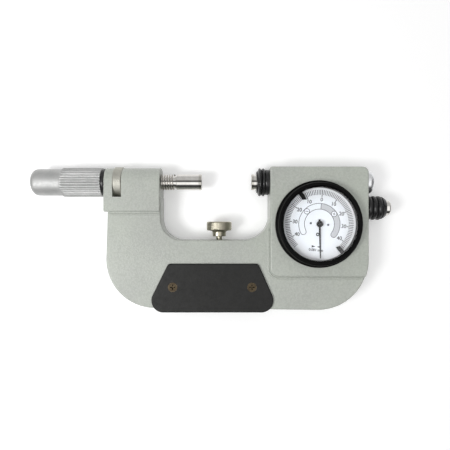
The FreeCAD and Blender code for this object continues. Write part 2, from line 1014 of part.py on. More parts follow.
def retract_button():
    """Button head outside, with its stem reaching in to the lever."""
    profile = [
        (stem_end, 0),
        (stem_end, button_stem_r),
        (button_back, button_stem_r),
        (button_back, button_r),
        (button_end, button_r, button_round),
        (button_end, 0),
    ]
    return turned_x(profile, -button_depth)


def button_spring():
    start = housing_right + button_nose_length + contact_gap
    end = button_back - contact_gap
    return coil(start, end, button_spring_r, button_spring_wire_r, button_spring_turns, -button_depth)


def button_bellows():
    """Foot on the bush's nose, three ribs, and a tapered collar that grips the button."""
    start = housing_right + seat_fit
    end = housing_right + button_bellows_length
    taper = end - button_bellows_taper
    ribs_start = start + button_bellows_foot_length
    pitch = (taper - ribs_start) / button_ribs
    grip = button_r + seat_fit
    seat = button_nose_r + seat_fit
    nose_end = housing_right + button_nose_length + side_play
    inside = button_bellows_valley_r - bellows_wall
    outer = [(start, seat), (start, button_bellows_foot_r, bellows_round)]
    outer += rib_corners(ribs_start, pitch, button_ribs, button_bellows_r, button_bellows_valley_r)
    outer += [
        (taper, button_bellows_collar_r, button_bellows_collar_round),
        (end - button_bellows_shoulder_length, button_bellows_shoulder_r, bellows_round),
        (end, button_bellows_end_r, bellows_round / 2),
        (end, grip),
    ]
    inner = [
        (nose_end, seat),
        (nose_end, inside),
        (button_back - side_play, inside),
        (button_back - side_play, grip),
    ]
    return turned_x(outer + inner[::-1], -button_depth)


def retract_lever():
    """Rocker with a fork over the shaft; at rest it leans back by half its swing."""
    thick = lever_half_thickness
    hub = rod_z(-thick, thick, lever_hub_r)
    lower = block(
        -lever_arm_half - lever_arm_back,
        lever_arm_half - lever_arm_back,
        -lever_arm,
        0,
        -thick,
        thick,
    )
    lower_tip = rod_z(-thick, thick, lever_tip_r, 0, -lever_arm)
    fork_out = anvil_shaft_r + lever_prong_gap + lever_prong_thickness
    fork_in = anvil_shaft_r + lever_prong_gap
    bridge_top = lever_arm - anvil_shaft_r - lever_prong_gap
    bridge_bottom = bridge_top - lever_bridge_width
    back = -lever_prong_half - lever_arm_back
    front = lever_prong_half - lever_arm_back
    neck = block(back, front, 0, bridge_top, -thick, thick)
    bridge = block(back, front, bridge_bottom, bridge_top, -fork_out, fork_out)
    lever = hub.fuse([lower, lower_tip, neck, bridge])
    for low, high in ((-fork_out, -fork_in), (fork_in, fork_out)):
        prong = block(back, front, bridge_bottom, lever_arm, low, high)
        tip = rod_z(low, high, lever_tip_r, 0, lever_arm)
        lever = lever.fuse([prong, tip])
    lever = lever.cut(rod_z(-thick - past, thick + past, lever_pin_r + running_fit))
    lever = lever.removeSplitter()
    lever.rotate(V(0, 0, 0), V(0, 0, 1), lever_half_swing)
    lever.translate(V(lever_x, lever_y, 0))
    return lever


def lever_pin():
    """Pin riveted in the lower plate's tab, headed below the lever."""
    head_top = -lever_half_thickness - side_play
    pin = rod_z(head_top, plate_low_top, lever_pin_r, lever_x, lever_y)
    return pin.fuse(rod_z(head_top - lever_pin_head_height, head_top, lever_pin_head_r, lever_x, lever_y))


def pivot_hole(z_low, z_high, x, y):
    return rod_z(z_low, z_high, pivot_r + running_fit, x, y)


def movement_plate_low():
    """Round plate on the chamber's ledge, cut flat below the shaft, with the lever's tab."""
    low = ledge_z + seat_fit
    disc = rod_z(low, plate_low_top, chamber_r - side_play, dial_x, dial_y)
    flat = block(0, housing_right, -plate_flat_depth, axis_to_top, low - past, plate_low_top + past)
    disc = disc.cut(flat)
    tab_top = lever_y + 2 * lever_pin_r
    tab_half = 3 * lever_pin_r
    tab_bottom = -window_depth - past
    disc = disc.fuse(block(lever_x - tab_half, lever_x + tab_half, tab_bottom, tab_top, low, plate_low_top))
    cuts = [
        rod_z(low - past, plate_low_top + past, lever_pin_r + seat_fit, lever_x, lever_y),
        rod_z(low - past, plate_low_top + past, arbor_r + side_play, dial_x, dial_y),
    ]
    for x, y in ((idler_x, idler_y), (sector_x, sector_y)):
        cuts.append(pivot_hole(low - past, plate_low_top + past, x, y))
    for angle in ledge_screw_angles:
        x, y = on_circle(ledge_screw_circle, angle)
        cuts.append(rod_z(low - past, plate_low_top + past, ledge_screw_r + side_play, x, y))
    return disc.cut(cuts).removeSplitter()


def movement_plate_high():
    """Upper plate on the pillars, with two bosses that carry the dial."""
    disc = rod_z(plate_high_z, plate_high_top, high_plate_r, dial_x, dial_y)
    flat = block(0, housing_right, -plate_flat_depth - pillar_r, axis_to_top, 0, dial_z)
    disc = disc.cut(flat)
    for x, y in dial_screw_places():
        disc = disc.fuse(rod_z(plate_high_top, dial_z - seat_fit, boss_r, x, y))
        disc = disc.cut(rod_z(plate_high_z - past, dial_z + past, dial_screw_r + seat_fit, x, y))
    low = plate_high_z - past
    high = plate_high_top + past
    arbors = ((idler_x, idler_y), (sector_x, sector_y), (dial_x, dial_y))
    cuts = [pivot_hole(low, high, x, y) for x, y in arbors]
    for angle in pillar_angles:
        x, y = on_circle(pillar_circle, angle)
        cuts.append(rod_z(low, high, pillar_screw_r + seat_fit, x, y))
    return disc.cut(cuts)


def movement_pillars():
    pillars = []
    hole_start = plate_high_z - plate_spacing + pillar_solid_length
    for angle in pillar_angles:
        x, y = on_circle(pillar_circle, angle)
        pillar = rod_z(plate_low_top + seat_fit, plate_high_z - seat_fit, pillar_r, x, y)
        hole = rod_z(hole_start, plate_high_z, pillar_screw_r + seat_fit, x, y)
        pillars.append(pillar.cut(hole))
    return Part.makeCompound(pillars)


def headed_screw(x, y, face, head_r, shank_r, length):
    """Slotted screw with a cylindrical head on a face, driven towards -Z."""
    top = face + screw_head_height
    head = rod_z(face + seat_fit, top, head_r, x, y)
    half = movement_slot_width / 2
    slot = block(x - head_r, x + head_r, y - half, y + half, top - movement_slot_depth, top + past)
    return head.cut(slot).fuse(rod_z(face - length, face + seat_fit, shank_r, x, y))


def movement_screws():
    """Three screws into the pillars and three into the chamber's ledge."""
    screws = []
    for angle in pillar_angles:
        x, y = on_circle(pillar_circle, angle)
        length = plate_thickness_high + (plate_spacing - pillar_solid_length) / 2
        screws.append(headed_screw(x, y, plate_high_top, pillar_screw_head_r, pillar_screw_r, length))
    for angle in ledge_screw_angles:
        x, y = on_circle(ledge_screw_circle, angle)
        screws.append(
            headed_screw(x, y, plate_low_top, ledge_screw_head_r, ledge_screw_r, ledge_screw_length)
        )
    return Part.makeCompound(screws)


def tooth_corners(teeth, index, centre_angle):
    """Four corners of one straight-flanked tooth, as (radius, angle in radians)."""
    pitch_r = module * teeth / 2
    half = (module * math.pi / 2 - backlash) / 2
    slope = math.tan(math.radians(flank_angle))
    root = pitch_r - dedendum_share * module
    tip = pitch_r + addendum_share * module
    root_half = (half + dedendum_share * module * slope) / root
    tip_half = (half - addendum_share * module * slope) / tip
    middle = math.radians(centre_angle) + index * 2 * math.pi / teeth
    return [
        (root, middle - root_half),
        (tip, middle - tip_half),
        (tip, middle + tip_half),
        (root, middle + root_half),
    ]


def gear(teeth, centre_angle, z_low, z_high, x, y):
    """Spur gear with one tooth centred on an angle."""
    corners = []
    for index in range(teeth):
        for radius, angle in tooth_corners(teeth, index, centre_angle):
            corners.append((radius * math.cos(angle), radius * math.sin(angle)))
    return at(prism(corners, z_low, z_high), x, y, 0)


def direction(x1, y1, x2, y2):
    return math.degrees(math.atan2(y2 - y1, x2 - x1))


mesh_sector = direction(sector_x, sector_y, idler_x, idler_y)
mesh_wheel = direction(idler_x, idler_y, dial_x, dial_y)


def sector_lever():
    """Long lever: feeler arm above its arbor, toothed rim below."""
    corners = []
    for index in range(sector_first_tooth, sector_last_tooth + 1):
        for radius, angle in tooth_corners(sector_teeth, index, mesh_sector):
            corners.append((radius * math.cos(angle), radius * math.sin(angle)))
    inner = sector_radius - sector_rim
    for index in range(sector_last_tooth, sector_first_tooth - 1, -1):
        angle = math.radians(mesh_sector) + index * 2 * math.pi / sector_teeth
        corners.append((inner * math.cos(angle), inner * math.sin(angle)))
    low = sector_z
    high = sector_z + sector_thickness
    rim = prism(corners, low, high)
    arm = block(0, inner + sector_rim / 2, -sector_arm_half, sector_arm_half, low, high)
    middle_tooth = (sector_first_tooth + sector_last_tooth) / 4
    arm.rotate(V(0, 0, 0), V(0, 0, 1), mesh_sector + middle_tooth * 360 / sector_teeth)
    upper = block(-feeler_arm_half, feeler_arm_half, 0, feeler_arm, low, high)
    eye = rod_z(low, high, sector_arm_half, 0, feeler_arm)
    lever = rim.fuse([arm, upper, eye, rod_z(low, high, sector_hub_r)])
    arbor_hole = rod_z(low - past, high + past, arbor_r + seat_fit)
    feeler_hole = rod_z(low - past, high + past, feeler_r + seat_fit, 0, feeler_arm)
    lever = lever.cut([arbor_hole, feeler_hole]).removeSplitter()
    return at(lever, sector_x, sector_y, 0)


def sector_feeler():
    return rod_z(-2 * feeler_r, sector_z + sector_thickness, feeler_r, sector_x, sector_y + feeler_arm)


def arbor(x, y, z_low, z_high):
    """Arbor between the plates with a pivot at each end."""
    body = rod_z(plate_low_top + side_play, plate_high_z - side_play, arbor_r, x, y)
    return body.fuse(rod_z(z_low, z_high, pivot_r, x, y))


def sector_arbor():
    return arbor(sector_x, sector_y, ledge_z + side_play, plate_high_top - side_play)


def idler_wheel():
    """Spoked wheel that drives the pointer's pinion."""
    high = wheel_z + wheel_thickness
    wheel = gear(wheel_teeth, mesh_wheel, wheel_z, high, 0, 0)
    inner = module * wheel_teeth / 2 - dedendum_share * module - wheel_rim
    wheel = wheel.cut(rod_z(wheel_z - past, high + past, inner))
    wheel = wheel.fuse(rod_z(wheel_z, high, wheel_hub_r))
    for i in range(wheel_spokes):
        spoke_end = inner + wheel_rim / 2
        spoke = block(wheel_hub_r / 2, spoke_end, -wheel_spoke_half, wheel_spoke_half, wheel_z, high)
        spoke.rotate(V(0, 0, 0), V(0, 0, 1), (i + 0.5) * 360 / wheel_spokes)
        wheel = wheel.fuse(spoke)
    wheel = wheel.cut(rod_z(wheel_z - past, high + past, arbor_r + seat_fit)).removeSplitter()
    return at(wheel, idler_x, idler_y, 0)


def idler_arbor():
    """Arbor with the small pinion cut in one with it."""
    half_pitch = 180 / idler_pinion_teeth
    low = sector_z - side_play
    high = wheel_z - seat_fit
    pinion = gear(idler_pinion_teeth, mesh_sector + 180 + half_pitch, low, high, idler_x, idler_y)
    return arbor(idler_x, idler_y, ledge_z + side_play, plate_high_top - side_play).fuse(pinion)


pointer_z = dial_top + pointer_lift


def pointer_arbor():
    """Centre arbor: pinion between the plates, hairspring below, pointer above the dial."""
    half_pitch = 180 / pointer_pinion_teeth
    low = wheel_z - side_play
    high = wheel_z + wheel_thickness + side_play
    pinion = gear(pointer_pinion_teeth, mesh_wheel + 180 + half_pitch, low, high, dial_x, dial_y)
    bottom = ledge_z - hairspring_drop - hairspring_height - side_play
    body = rod_z(bottom, plate_high_z - side_play, arbor_r, dial_x, dial_y)
    spike = rod_z(bottom, pointer_z + pointer_hub_height / 2, pivot_r, dial_x, dial_y)
    return body.fuse([pinion, spike])


def hairspring():
    """Flat spiral of half turns about alternating centres, with its outer end at the stud."""
    half_turns = 2 * hairspring_turns
    step = (hairspring_outer_r - hairspring_inner_r) / half_turns
    centre_x = 0.0
    edges_in = []
    edges_out = []
    radius = hairspring_inner_r
    side = 1
    for i in range(half_turns):
        for edges, r in ((edges_in, radius), (edges_out, radius + hairspring_strip)):
            start = V(centre_x + side * r, 0, 0)
            middle = V(centre_x, side * r, 0)
            end = V(centre_x - side * r, 0, 0)
            edges.append(Part.Arc(start, middle, end).toShape())
        centre_x += side * step
        radius += step
        side = -side
    starts = [edges[0].valueAt(edges[0].FirstParameter) for edges in (edges_in, edges_out)]
    ends = [edges[-1].valueAt(edges[-1].LastParameter) for edges in (edges_in, edges_out)]
    closing = [Part.makeLine(*starts), Part.makeLine(*ends)]
    wire = Part.Wire(Part.__sortEdges__(closing + edges_in + edges_out))
    strip = outward(Part.Face(wire).extrude(V(0, 0, hairspring_height)))
    return at(strip, dial_x, dial_y, ledge_z - hairspring_drop - hairspring_height)


def hairspring_stud():
    outer = hairspring_outer_r + hairspring_strip
    bottom = ledge_z - hairspring_drop - hairspring_height
    return rod_z(bottom, ledge_z - seat_fit, stud_r, dial_x + outer + stud_r + contact_gap, dial_y)


def dial_screw_places():
    return [on_circle(dial_screw_circle, dial_turn + turn) for turn in (0, 180)]


def dial_plate():
    disc = rod_z(dial_z, dial_top, dial_plate_r, dial_x, dial_y)
    disc = disc.cut(rod_z(dial_z - past, dial_top + past, pivot_r + side_play, dial_x, dial_y))
    for x, y in dial_screw_places():
        disc = disc.cut(rod_z(dial_z - past, dial_top + past, dial_screw_r + seat_fit, x, y))
    return disc


def dial_screws():
    screws = []
    for x, y in dial_screw_places():
        head = rod_z(dial_top + seat_fit, dial_top + dial_screw_head_height, dial_screw_head_r, x, y)
        screws.append(head.fuse(rod_z(plate_high_z, dial_top + seat_fit, dial_screw_r, x, y)))
    return Part.makeCompound(screws)


def clock_place(radius, angle):
    """Point at a clock angle, counted clockwise from the top of the dial."""
    return on_circle(radius, 90 - angle)


def pointer():
    """Hub with a slender tapered blade and a short tail, built pointing up, then turned."""
    z = pointer_z
    hub = rod_z(z, z + pointer_hub_height, pointer_hub_r)
    blade = prism(
        [
            (-pointer_base_half, -pointer_tail),
            (pointer_base_half, -pointer_tail),
            (pointer_tip_half, pointer_length),
            (-pointer_tip_half, pointer_length),
        ],
        z,
        z + pointer_blade,
    )
    hand = hub.fuse(blade).cut(rod_z(z - past, z + pointer_hub_height / 2 + seat_fit, pivot_r + seat_fit))
    hand.rotate(V(0, 0, 0), V(0, 0, 1), -pointer_angle)
    return at(hand, dial_x, dial_y, 0)


groove_z = track_z + (track_height - groove_height) / 2


def marker_track():
    """Black ring between dial and crystal, grooved inside for the markers' shoes."""
    outer = dial_plate_r
    profile = [
        (track_inner_r, track_z),
        (outer, track_z),
        (outer, track_top),
        (track_inner_r, track_top),
        (track_inner_r, groove_z + groove_height),
        (track_inner_r + groove_depth, groove_z + groove_height),
        (track_inner_r + groove_depth, groove_z),
        (track_inner_r, groove_z),
    ]
    return turned_z(profile, dial_x, dial_y)


def tolerance_marker(angle):
    """Curved shoe in the ring's groove with a pointed blade towards the centre."""
    outer = track_inner_r + groove_depth - running_fit
    low = groove_z + running_fit
    high = groove_z + groove_height - running_fit
    shoe = Part.makeCylinder(outer, high - low, V(0, 0, low), V(0, 0, 1), marker_shoe)
    shoe = shoe.cut(rod_z(low - past, high + past, track_inner_r - running_fit))
    shoe.rotate(V(0, 0, 0), V(0, 0, 1), 90 - marker_shoe / 2)
    half = marker_width / 2
    root = track_inner_r + groove_depth / 2
    inner = track_inner_r - marker_length
    neck = inner + marker_point
    outline = [(-half, root), (half, root), (half, neck), (0, inner), (-half, neck)]
    blade = prism(outline, low, low + marker_blade)
    marker = shoe.fuse(blade)
    marker.rotate(V(0, 0, 0), V(0, 0, 1), -angle)
    return at(marker, dial_x, dial_y, 0)


def crystal():
    return rod_z(crystal_z, crystal_top, dial_plate_r, dial_x, dial_y)


def bezel():
    """Stepped ring over the dial: skirt in the housing, base flange, rounded crown, lip."""
    bore = dial_plate_r + bezel_bore_gap
    low = half_block - bezel_skirt_height
    base = half_block + seat_fit
    profile = [
        (bore, low),
        (bezel_seat_r - side_play, low),
        (bezel_seat_r - side_play, base),
        (bezel_r, base),
        (bezel_r, base + bezel_base_height, bezel_round),
        (bezel_waist_r, base + bezel_base_height),
        (bezel_crown_r, bezel_top, bezel_round),
        (bezel_opening_r + bezel_lip, bezel_top, bezel_lip / 2),
        (bezel_opening_r, crystal_top + contact_gap),
        (bore, crystal_top + contact_gap),
    ]
    return turned_z(profile, dial_x, dial_y)


def bezel_seal():
    low = half_block - bezel_seat_depth + seat_fit
    high = half_block - bezel_skirt_height - seat_fit
    outer = bezel_seat_r - side_play
    inner = outer - bezel_seal_width
    return turned_z([(inner, low), (outer, low), (outer, high), (inner, high)], dial_x, dial_y)


PIECES = {
    "frame_casting": frame_casting,
    "front_grip_plate": grip_plate,
    "rear_grip_plate": lambda: mirrored(grip_plate()),
    "grip_plate_screws": grip_plate_screws,
    "spindle": spindle,
    "spindle_tip": spindle_tip,
    "spindle_key": spindle_key,
    "adjusting_nut": adjusting_nut,
    "clamp_collet": clamp_collet,
    "cap_seal_ring": cap_seal_ring,
    "clamp_cap": clamp_cap,
    "stop_screw": stop_screw,
    "rear_cover": rear_cover,
    "rear_cover_gasket": rear_cover_gasket,
    "rear_cover_screws": rear_cover_screws,
    "anvil_tip": anvil_tip,
    "anvil_shaft": anvil_shaft,
    "anvil_peg": anvil_peg,
    "anvil_collar": anvil_collar,
    "anvil_bush_left": anvil_bush_left,
    "anvil_bush_right": anvil_bush_right,
    "anvil_spring": anvil_spring,
    "anvil_end_cap": anvil_end_cap,
    "anvil_bellows": anvil_bellows,
    "button_bush": button_bush,
    "retract_button": retract_button,
    "button_spring": button_spring,
    "button_bellows": button_bellows,
    "retract_lever": retract_lever,
    "lever_pin": lever_pin,
    "movement_plate_low": movement_plate_low,
    "movement_plate_high": movement_plate_high,
    "movement_pillars": movement_pillars,
    "movement_screws": movement_screws,
    "sector_lever": sector_lever,
    "sector_feeler": sector_feeler,
    "sector_arbor": sector_arbor,
    "idler_wheel": idler_wheel,
    "idler_arbor": idler_arbor,
    "pointer_arbor": pointer_arbor,
    "hairspring": hairspring,
    "hairspring_stud": hairspring_stud,
    "dial_plate": dial_plate,
    "dial_screws": dial_screws,
    "pointer": pointer,
    "marker_track": marker_track,
    "tolerance_marker_low": lambda: tolerance_marker(marker_low_angle),
    "tolerance_marker_high": lambda: tolerance_marker(marker_high_angle),
    "crystal": crystal,
    "bezel": bezel,
    "bezel_seal": bezel_seal,
}

os.makedirs("parts", exist_ok=True)
for name, make in PIECES.items():
    shape = make()
    shape.exportStep("parts/" + name + ".step")
    volume = round(shape.Volume, 3)
    print(name, "solids", len(shape.Solids), "volume", volume, "valid", shape.isValid())

ratio = math.radians(pointer_sweep) / anvil_stroke
print("idler centre", round(idler_x, 4), round(idler_y, 4), "sector centre", sector_x, round(sector_y, 4))
print("lever centre", round(lever_x, 4), lever_y, "stem end", round(stem_end, 4))
print("radians per millimetre of anvil: pointer", round(ratio, 6), "idler", round(ratio / 4, 6))
print("sector", round(ratio / gear_ratio, 6), "feeler arm", round(feeler_arm, 4))
print("lever", round(math.radians(2 * lever_half_swing) / anvil_stroke, 6))
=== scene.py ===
import json
import math

import bmesh
import bpy
from mathutils import Matrix, Vector

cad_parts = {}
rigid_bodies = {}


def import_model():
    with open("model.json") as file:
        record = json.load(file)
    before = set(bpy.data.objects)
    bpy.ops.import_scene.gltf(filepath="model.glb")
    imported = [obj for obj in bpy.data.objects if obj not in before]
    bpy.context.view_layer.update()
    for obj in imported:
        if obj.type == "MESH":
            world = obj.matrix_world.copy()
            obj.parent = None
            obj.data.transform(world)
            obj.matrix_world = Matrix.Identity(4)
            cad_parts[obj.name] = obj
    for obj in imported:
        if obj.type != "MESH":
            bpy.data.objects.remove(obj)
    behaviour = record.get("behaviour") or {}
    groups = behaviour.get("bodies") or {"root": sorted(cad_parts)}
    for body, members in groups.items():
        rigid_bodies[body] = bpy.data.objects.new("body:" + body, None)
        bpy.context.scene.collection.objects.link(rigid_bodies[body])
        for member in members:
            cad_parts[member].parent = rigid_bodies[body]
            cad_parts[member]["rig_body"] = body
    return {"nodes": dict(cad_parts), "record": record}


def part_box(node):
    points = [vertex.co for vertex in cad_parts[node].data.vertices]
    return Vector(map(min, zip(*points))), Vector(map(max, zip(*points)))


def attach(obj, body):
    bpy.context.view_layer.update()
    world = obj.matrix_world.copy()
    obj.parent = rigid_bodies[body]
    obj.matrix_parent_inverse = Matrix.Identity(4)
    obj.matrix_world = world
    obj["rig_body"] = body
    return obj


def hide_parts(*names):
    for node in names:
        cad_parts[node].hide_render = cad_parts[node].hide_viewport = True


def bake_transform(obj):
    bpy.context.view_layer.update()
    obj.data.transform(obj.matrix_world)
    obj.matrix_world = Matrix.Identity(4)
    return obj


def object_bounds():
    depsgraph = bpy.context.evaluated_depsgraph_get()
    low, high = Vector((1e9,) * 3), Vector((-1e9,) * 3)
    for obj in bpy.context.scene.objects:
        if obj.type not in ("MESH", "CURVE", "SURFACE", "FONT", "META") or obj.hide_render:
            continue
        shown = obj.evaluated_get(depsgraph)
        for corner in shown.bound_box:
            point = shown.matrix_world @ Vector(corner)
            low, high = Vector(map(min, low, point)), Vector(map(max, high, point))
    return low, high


# An indicating snap gauge on a white table, seen from straight above. Pieces are worked out in
# millimetres and become metres when they are made objects. X runs along the measuring axis,
# Y points away from the grip and Z out of the dial.

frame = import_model()
nodes = frame["nodes"]
frame_box = [list(corner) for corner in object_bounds()]

MM = 0.001
FULL_TURN = 2 * math.pi


def node_box(name):
    """Lowest and highest corner of a CAD node, in millimetres."""
    low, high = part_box(name)
    return low / MM, high / MM


# Camera and table
camera_place = (-13.0, -21.3, 204.0)
photo_width_at_axis = 225.0
sensor_width = 36.0
table_half = 900.0
table_z = frame_box[0][2] / MM

# Levels of the surroundings that light the gauge and show in its metal
box_level = 1.35
side_level = 0.2
gap_level = 0.08
wall_level = 0.64
front_level = 0.07
box_edge = (0.45, 0.6)
front_edge = (-0.72, -0.56)
gap_edge = (-0.12, 0.06)
gap_side_edge = (0.18, 0.28)
back_edge = (0.25, 0.5)
key_place = (-0.30, -0.13, 0.38)
key_size = 0.14
key_power = 1.1
table_white = (0.9, 0.9, 0.9, 1.0)
table_glow = 0.25

# Spindle and its thread
thread_pitch = 1.25
thread_root_r = 3.2
thread_crest_r = 3.98
thread_crest_half = 0.27
thread_base_half = 0.5
thread_steps = 36
spindle_r = 4.0
relief_r = 3.5
relief_width = 0.6
spindle_smooth = 11.0
small_chamfer = 0.15

# Knurls
nut_knurl_pitch = 0.9
nut_knurl_depth = 0.12
nut_chamfer = 0.3
nut_bore_gap = 0.03
stop_knurl_pitch = 0.95
stop_knurl_depth = 0.14
samples_per_knurl = 7

# Stop screw
stop_head_height = 4.5
stop_collar_height = 2.8
stop_stem_r = 1.5
stop_collar_r = 3.35
stop_flare_r = 4.7
stop_plain_edge = 0.55
stop_centre_r = 1.6
stop_centre_depth = 0.12

# Clamping cap
cap_grip_length = 19.8
cap_flutes = 32
cap_flute_depth = 0.42
cap_steps_per_flute = 10
cap_runout = 1.6
cap_nose_r = 6.6
cap_nose_round = 3.0
cap_end_crown = 0.5
cap_bore_r = 5.63
cap_bore_depth = 6.0
cap_seat_r = 4.62
cap_floor = 3.0
cap_flute_sharpness = 2.2

# Bellows
rib_fullness = 0.55
anvil_boot_bore_r = 4.02
anvil_boot_neck = 0.75
anvil_boot_flange = 2.1
anvil_boot_flange_r = 6.3
anvil_boot_seat_r = 4.95
anvil_boot_valley_r = 5.95
button_boot_foot = 0.3
button_boot_collar = 2.0
button_boot_ribs = 3
button_boot_valley_r = 5.1
button_boot_inner_r = 4.4
button_boot_bore_r = 3.74
button_boot_end_bore_r = 3.88

# Print on the dial, angles in degrees clockwise from the zero mark
dial_turn = 5.5
tick_outer_r = 16.45
tick_inner_r = 14.1
long_tick_inner_r = 13.1
tick_width = 0.3
long_tick_width = 0.36
tick_step = 3
last_tick = 46
number_r = 11.75
number_size = 2.45
letter_weight = 0.05
band_inner_r = 7.05
band_outer_r = 10.05
band_end = 121.0
band_line = 0.24
sign_angle = 50.0
sign_r = 1.42
unit_place = (-0.45, -12.6)
unit_size = 1.7
arrow_places = (-1.7, 0.8)
arrow_y = -10.95
arrow_half_length = 0.95
arrow_half_height = 0.55
centre_mark_place = (-0.33, -5.02)
centre_mark_r = 0.85
ink = 0.02

# Tolerance markers
marker_shoe = 9.0
marker_shoe_r = 17.9
marker_inner_r = 13.3
marker_blade_width = 1.9
marker_slant = 0.9
marker_shoe_width = 0.42
marker_blade_height = 0.3
marker_blade_inset = 0.2
marker_low_angle = -32.0
marker_high_angle = 141.5

# Beads of paint where the head and the housing stand up from the leg and the bar
web_top = 5.85
bead_r = 0.5
bead_sink = 0.18
head_depth = 14.8
head_bead_off = 1.3
head_bead_start = -69.3
head_bead_length = 24.5
housing_left = 8.9
housing_depth = 46.4
housing_corner = 4.3
housing_bead_off = 0.85
housing_bead_top = 22.5
housing_bead_run = 40.8

# Edges sharper than this stay sharp on turned pieces and on welded copies of CAD pieces
sharp_angle = math.radians(32)
weld = 1e-6

# Bodies that carry the left and the right end of each compression spring
spring_ends = {"anvil_spring": ("anvil", "frame"), "button_spring": ("frame", "button")}


def soften(bm):
    """Smooth shading with sharp edges kept."""
    for face in bm.faces:
        face.smooth = True
    for edge in bm.edges:
        edge.smooth = edge.calc_face_angle(0.0) < sharp_angle


def make_object(name, bm, material):
    mesh = bpy.data.meshes.new(name)
    bm.to_mesh(mesh)
    bm.free()
    mesh.materials.append(material)
    piece = bpy.data.objects.new(name, mesh)
    bpy.context.scene.collection.objects.link(piece)
    return piece


def make_piece(name, bm, material):
    """Object from a mesh in millimetres."""
    bmesh.ops.recalc_face_normals(bm, faces=bm.faces)
    bmesh.ops.scale(bm, vec=(MM, MM, MM), verts=bm.verts)
    soften(bm)
    return make_object(name, bm, material)


def even_normals(piece):
    """Flat faces keep their own normal beside rounded ones."""
    modifier = piece.modifiers.new("even_normals", "WEIGHTED_NORMAL")
    modifier.keep_sharp = True
    modifier.weight = 100


def welded_copy(node, material):
    """Copy of a CAD piece with its triangles welded, so that its rounds shade smoothly."""
    bm = bmesh.new()
    bm.from_mesh(nodes[node].data)
    bmesh.ops.remove_doubles(bm, verts=bm.verts, dist=weld)
    soften(bm)
    piece = make_object(node + "_finish", bm, material)
    if node in spring_ends:
        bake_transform(piece)
    else:
        even_normals(piece)
        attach(piece, nodes[node]["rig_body"])
    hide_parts(node)


def turned(profile, steps, closed=False):
    """Mesh turned about X from corners (x, radius)."""
    bm = bmesh.new()
    verts = [bm.verts.new((x, r, 0)) for x, r in profile]
    pairs = list(zip(verts, verts[1:]))
    if closed:
        pairs.append((verts[-1], verts[0]))
    edges = [bm.edges.new(pair) for pair in pairs]
    bmesh.ops.spin(
        bm,
        geom=verts + edges,
        cent=(0, 0, 0),
        axis=(1, 0, 0),
        dvec=(0, 0, 0),
        angle=FULL_TURN,
        steps=steps,
        use_merge=True,
        use_duplicate=False,
    )
    bmesh.ops.remove_doubles(bm, verts=bm.verts, dist=1e-5)
    return bm


def stand(bm, x=0.0, y=0.0, along_y=False):
    """Moves a piece turned about X to its place, first turned to lie along Y if asked."""
    if along_y:
        matrix = Matrix.Rotation(math.pi / 2, 3, "Z")
        bmesh.ops.rotate(bm, cent=(0, 0, 0), matrix=matrix, verts=bm.verts)
    bmesh.ops.translate(bm, vec=(x, y, 0), verts=bm.verts)


def zigzag(value):
    """0 at whole numbers and 1 halfway between them."""
    return 1 - abs(2 * (value % 1.0) - 1)


def press_knurl(bm, start, end, radius, pitch, depth):
    """Presses crossed knurling into a band about X."""
    around = round(FULL_TURN * radius / pitch)
    for vert in bm.verts:
        x, y, z = vert.co
        r = math.hypot(y, z)
        if r < radius - 0.01 or not start < x < end:
            continue
        share = math.atan2(z, y) / FULL_TURN * around
        along = (x - start) / pitch
        height = min(zigzag(share + along), zigzag(share - along))
        shrink = 1 - depth * (1 - height) / r
        vert.co = (x, y * shrink, z * shrink)


def between(start, end, count):
    """Evenly spaced values, both ends included."""
    return [start + (end - start) * i / count for i in range(count + 1)]


# Shader groups
def new_group(name, inputs, outputs):
    """Shader group with float, vector or colour sockets; returns it with its two end nodes."""
    group = bpy.data.node_groups.new(name, "ShaderNodeTree")
    for label, kind, value in inputs:
        socket = group.interface.new_socket(label, in_out="INPUT", socket_type=kind)
        if value is not None:
            socket.default_value = value
    for label, kind in outputs:
        group.interface.new_socket(label, in_out="OUTPUT", socket_type=kind)
    return group, group.nodes.new("NodeGroupInput"), group.nodes.new("NodeGroupOutput")


def add(tree, kind, inputs=None, **settings):
    """Node with its settings, and inputs given as values or as sockets to link from."""
    node = tree.nodes.new(kind)
    for key, value in settings.items():
        setattr(node, key, value)
    for key, value in (inputs or {}).items():
        if isinstance(value, bpy.types.NodeSocket):
            tree.links.new(value, node.inputs[key])
        else:
            node.inputs[key].default_value = value
    return node


def remap(tree, value, from_low, from_high, to_low, to_high):
    node = add(tree, "ShaderNodeMapRange", {0: value, 1: from_low, 2: from_high, 3: to_low, 4: to_high})
    return node.outputs[0]


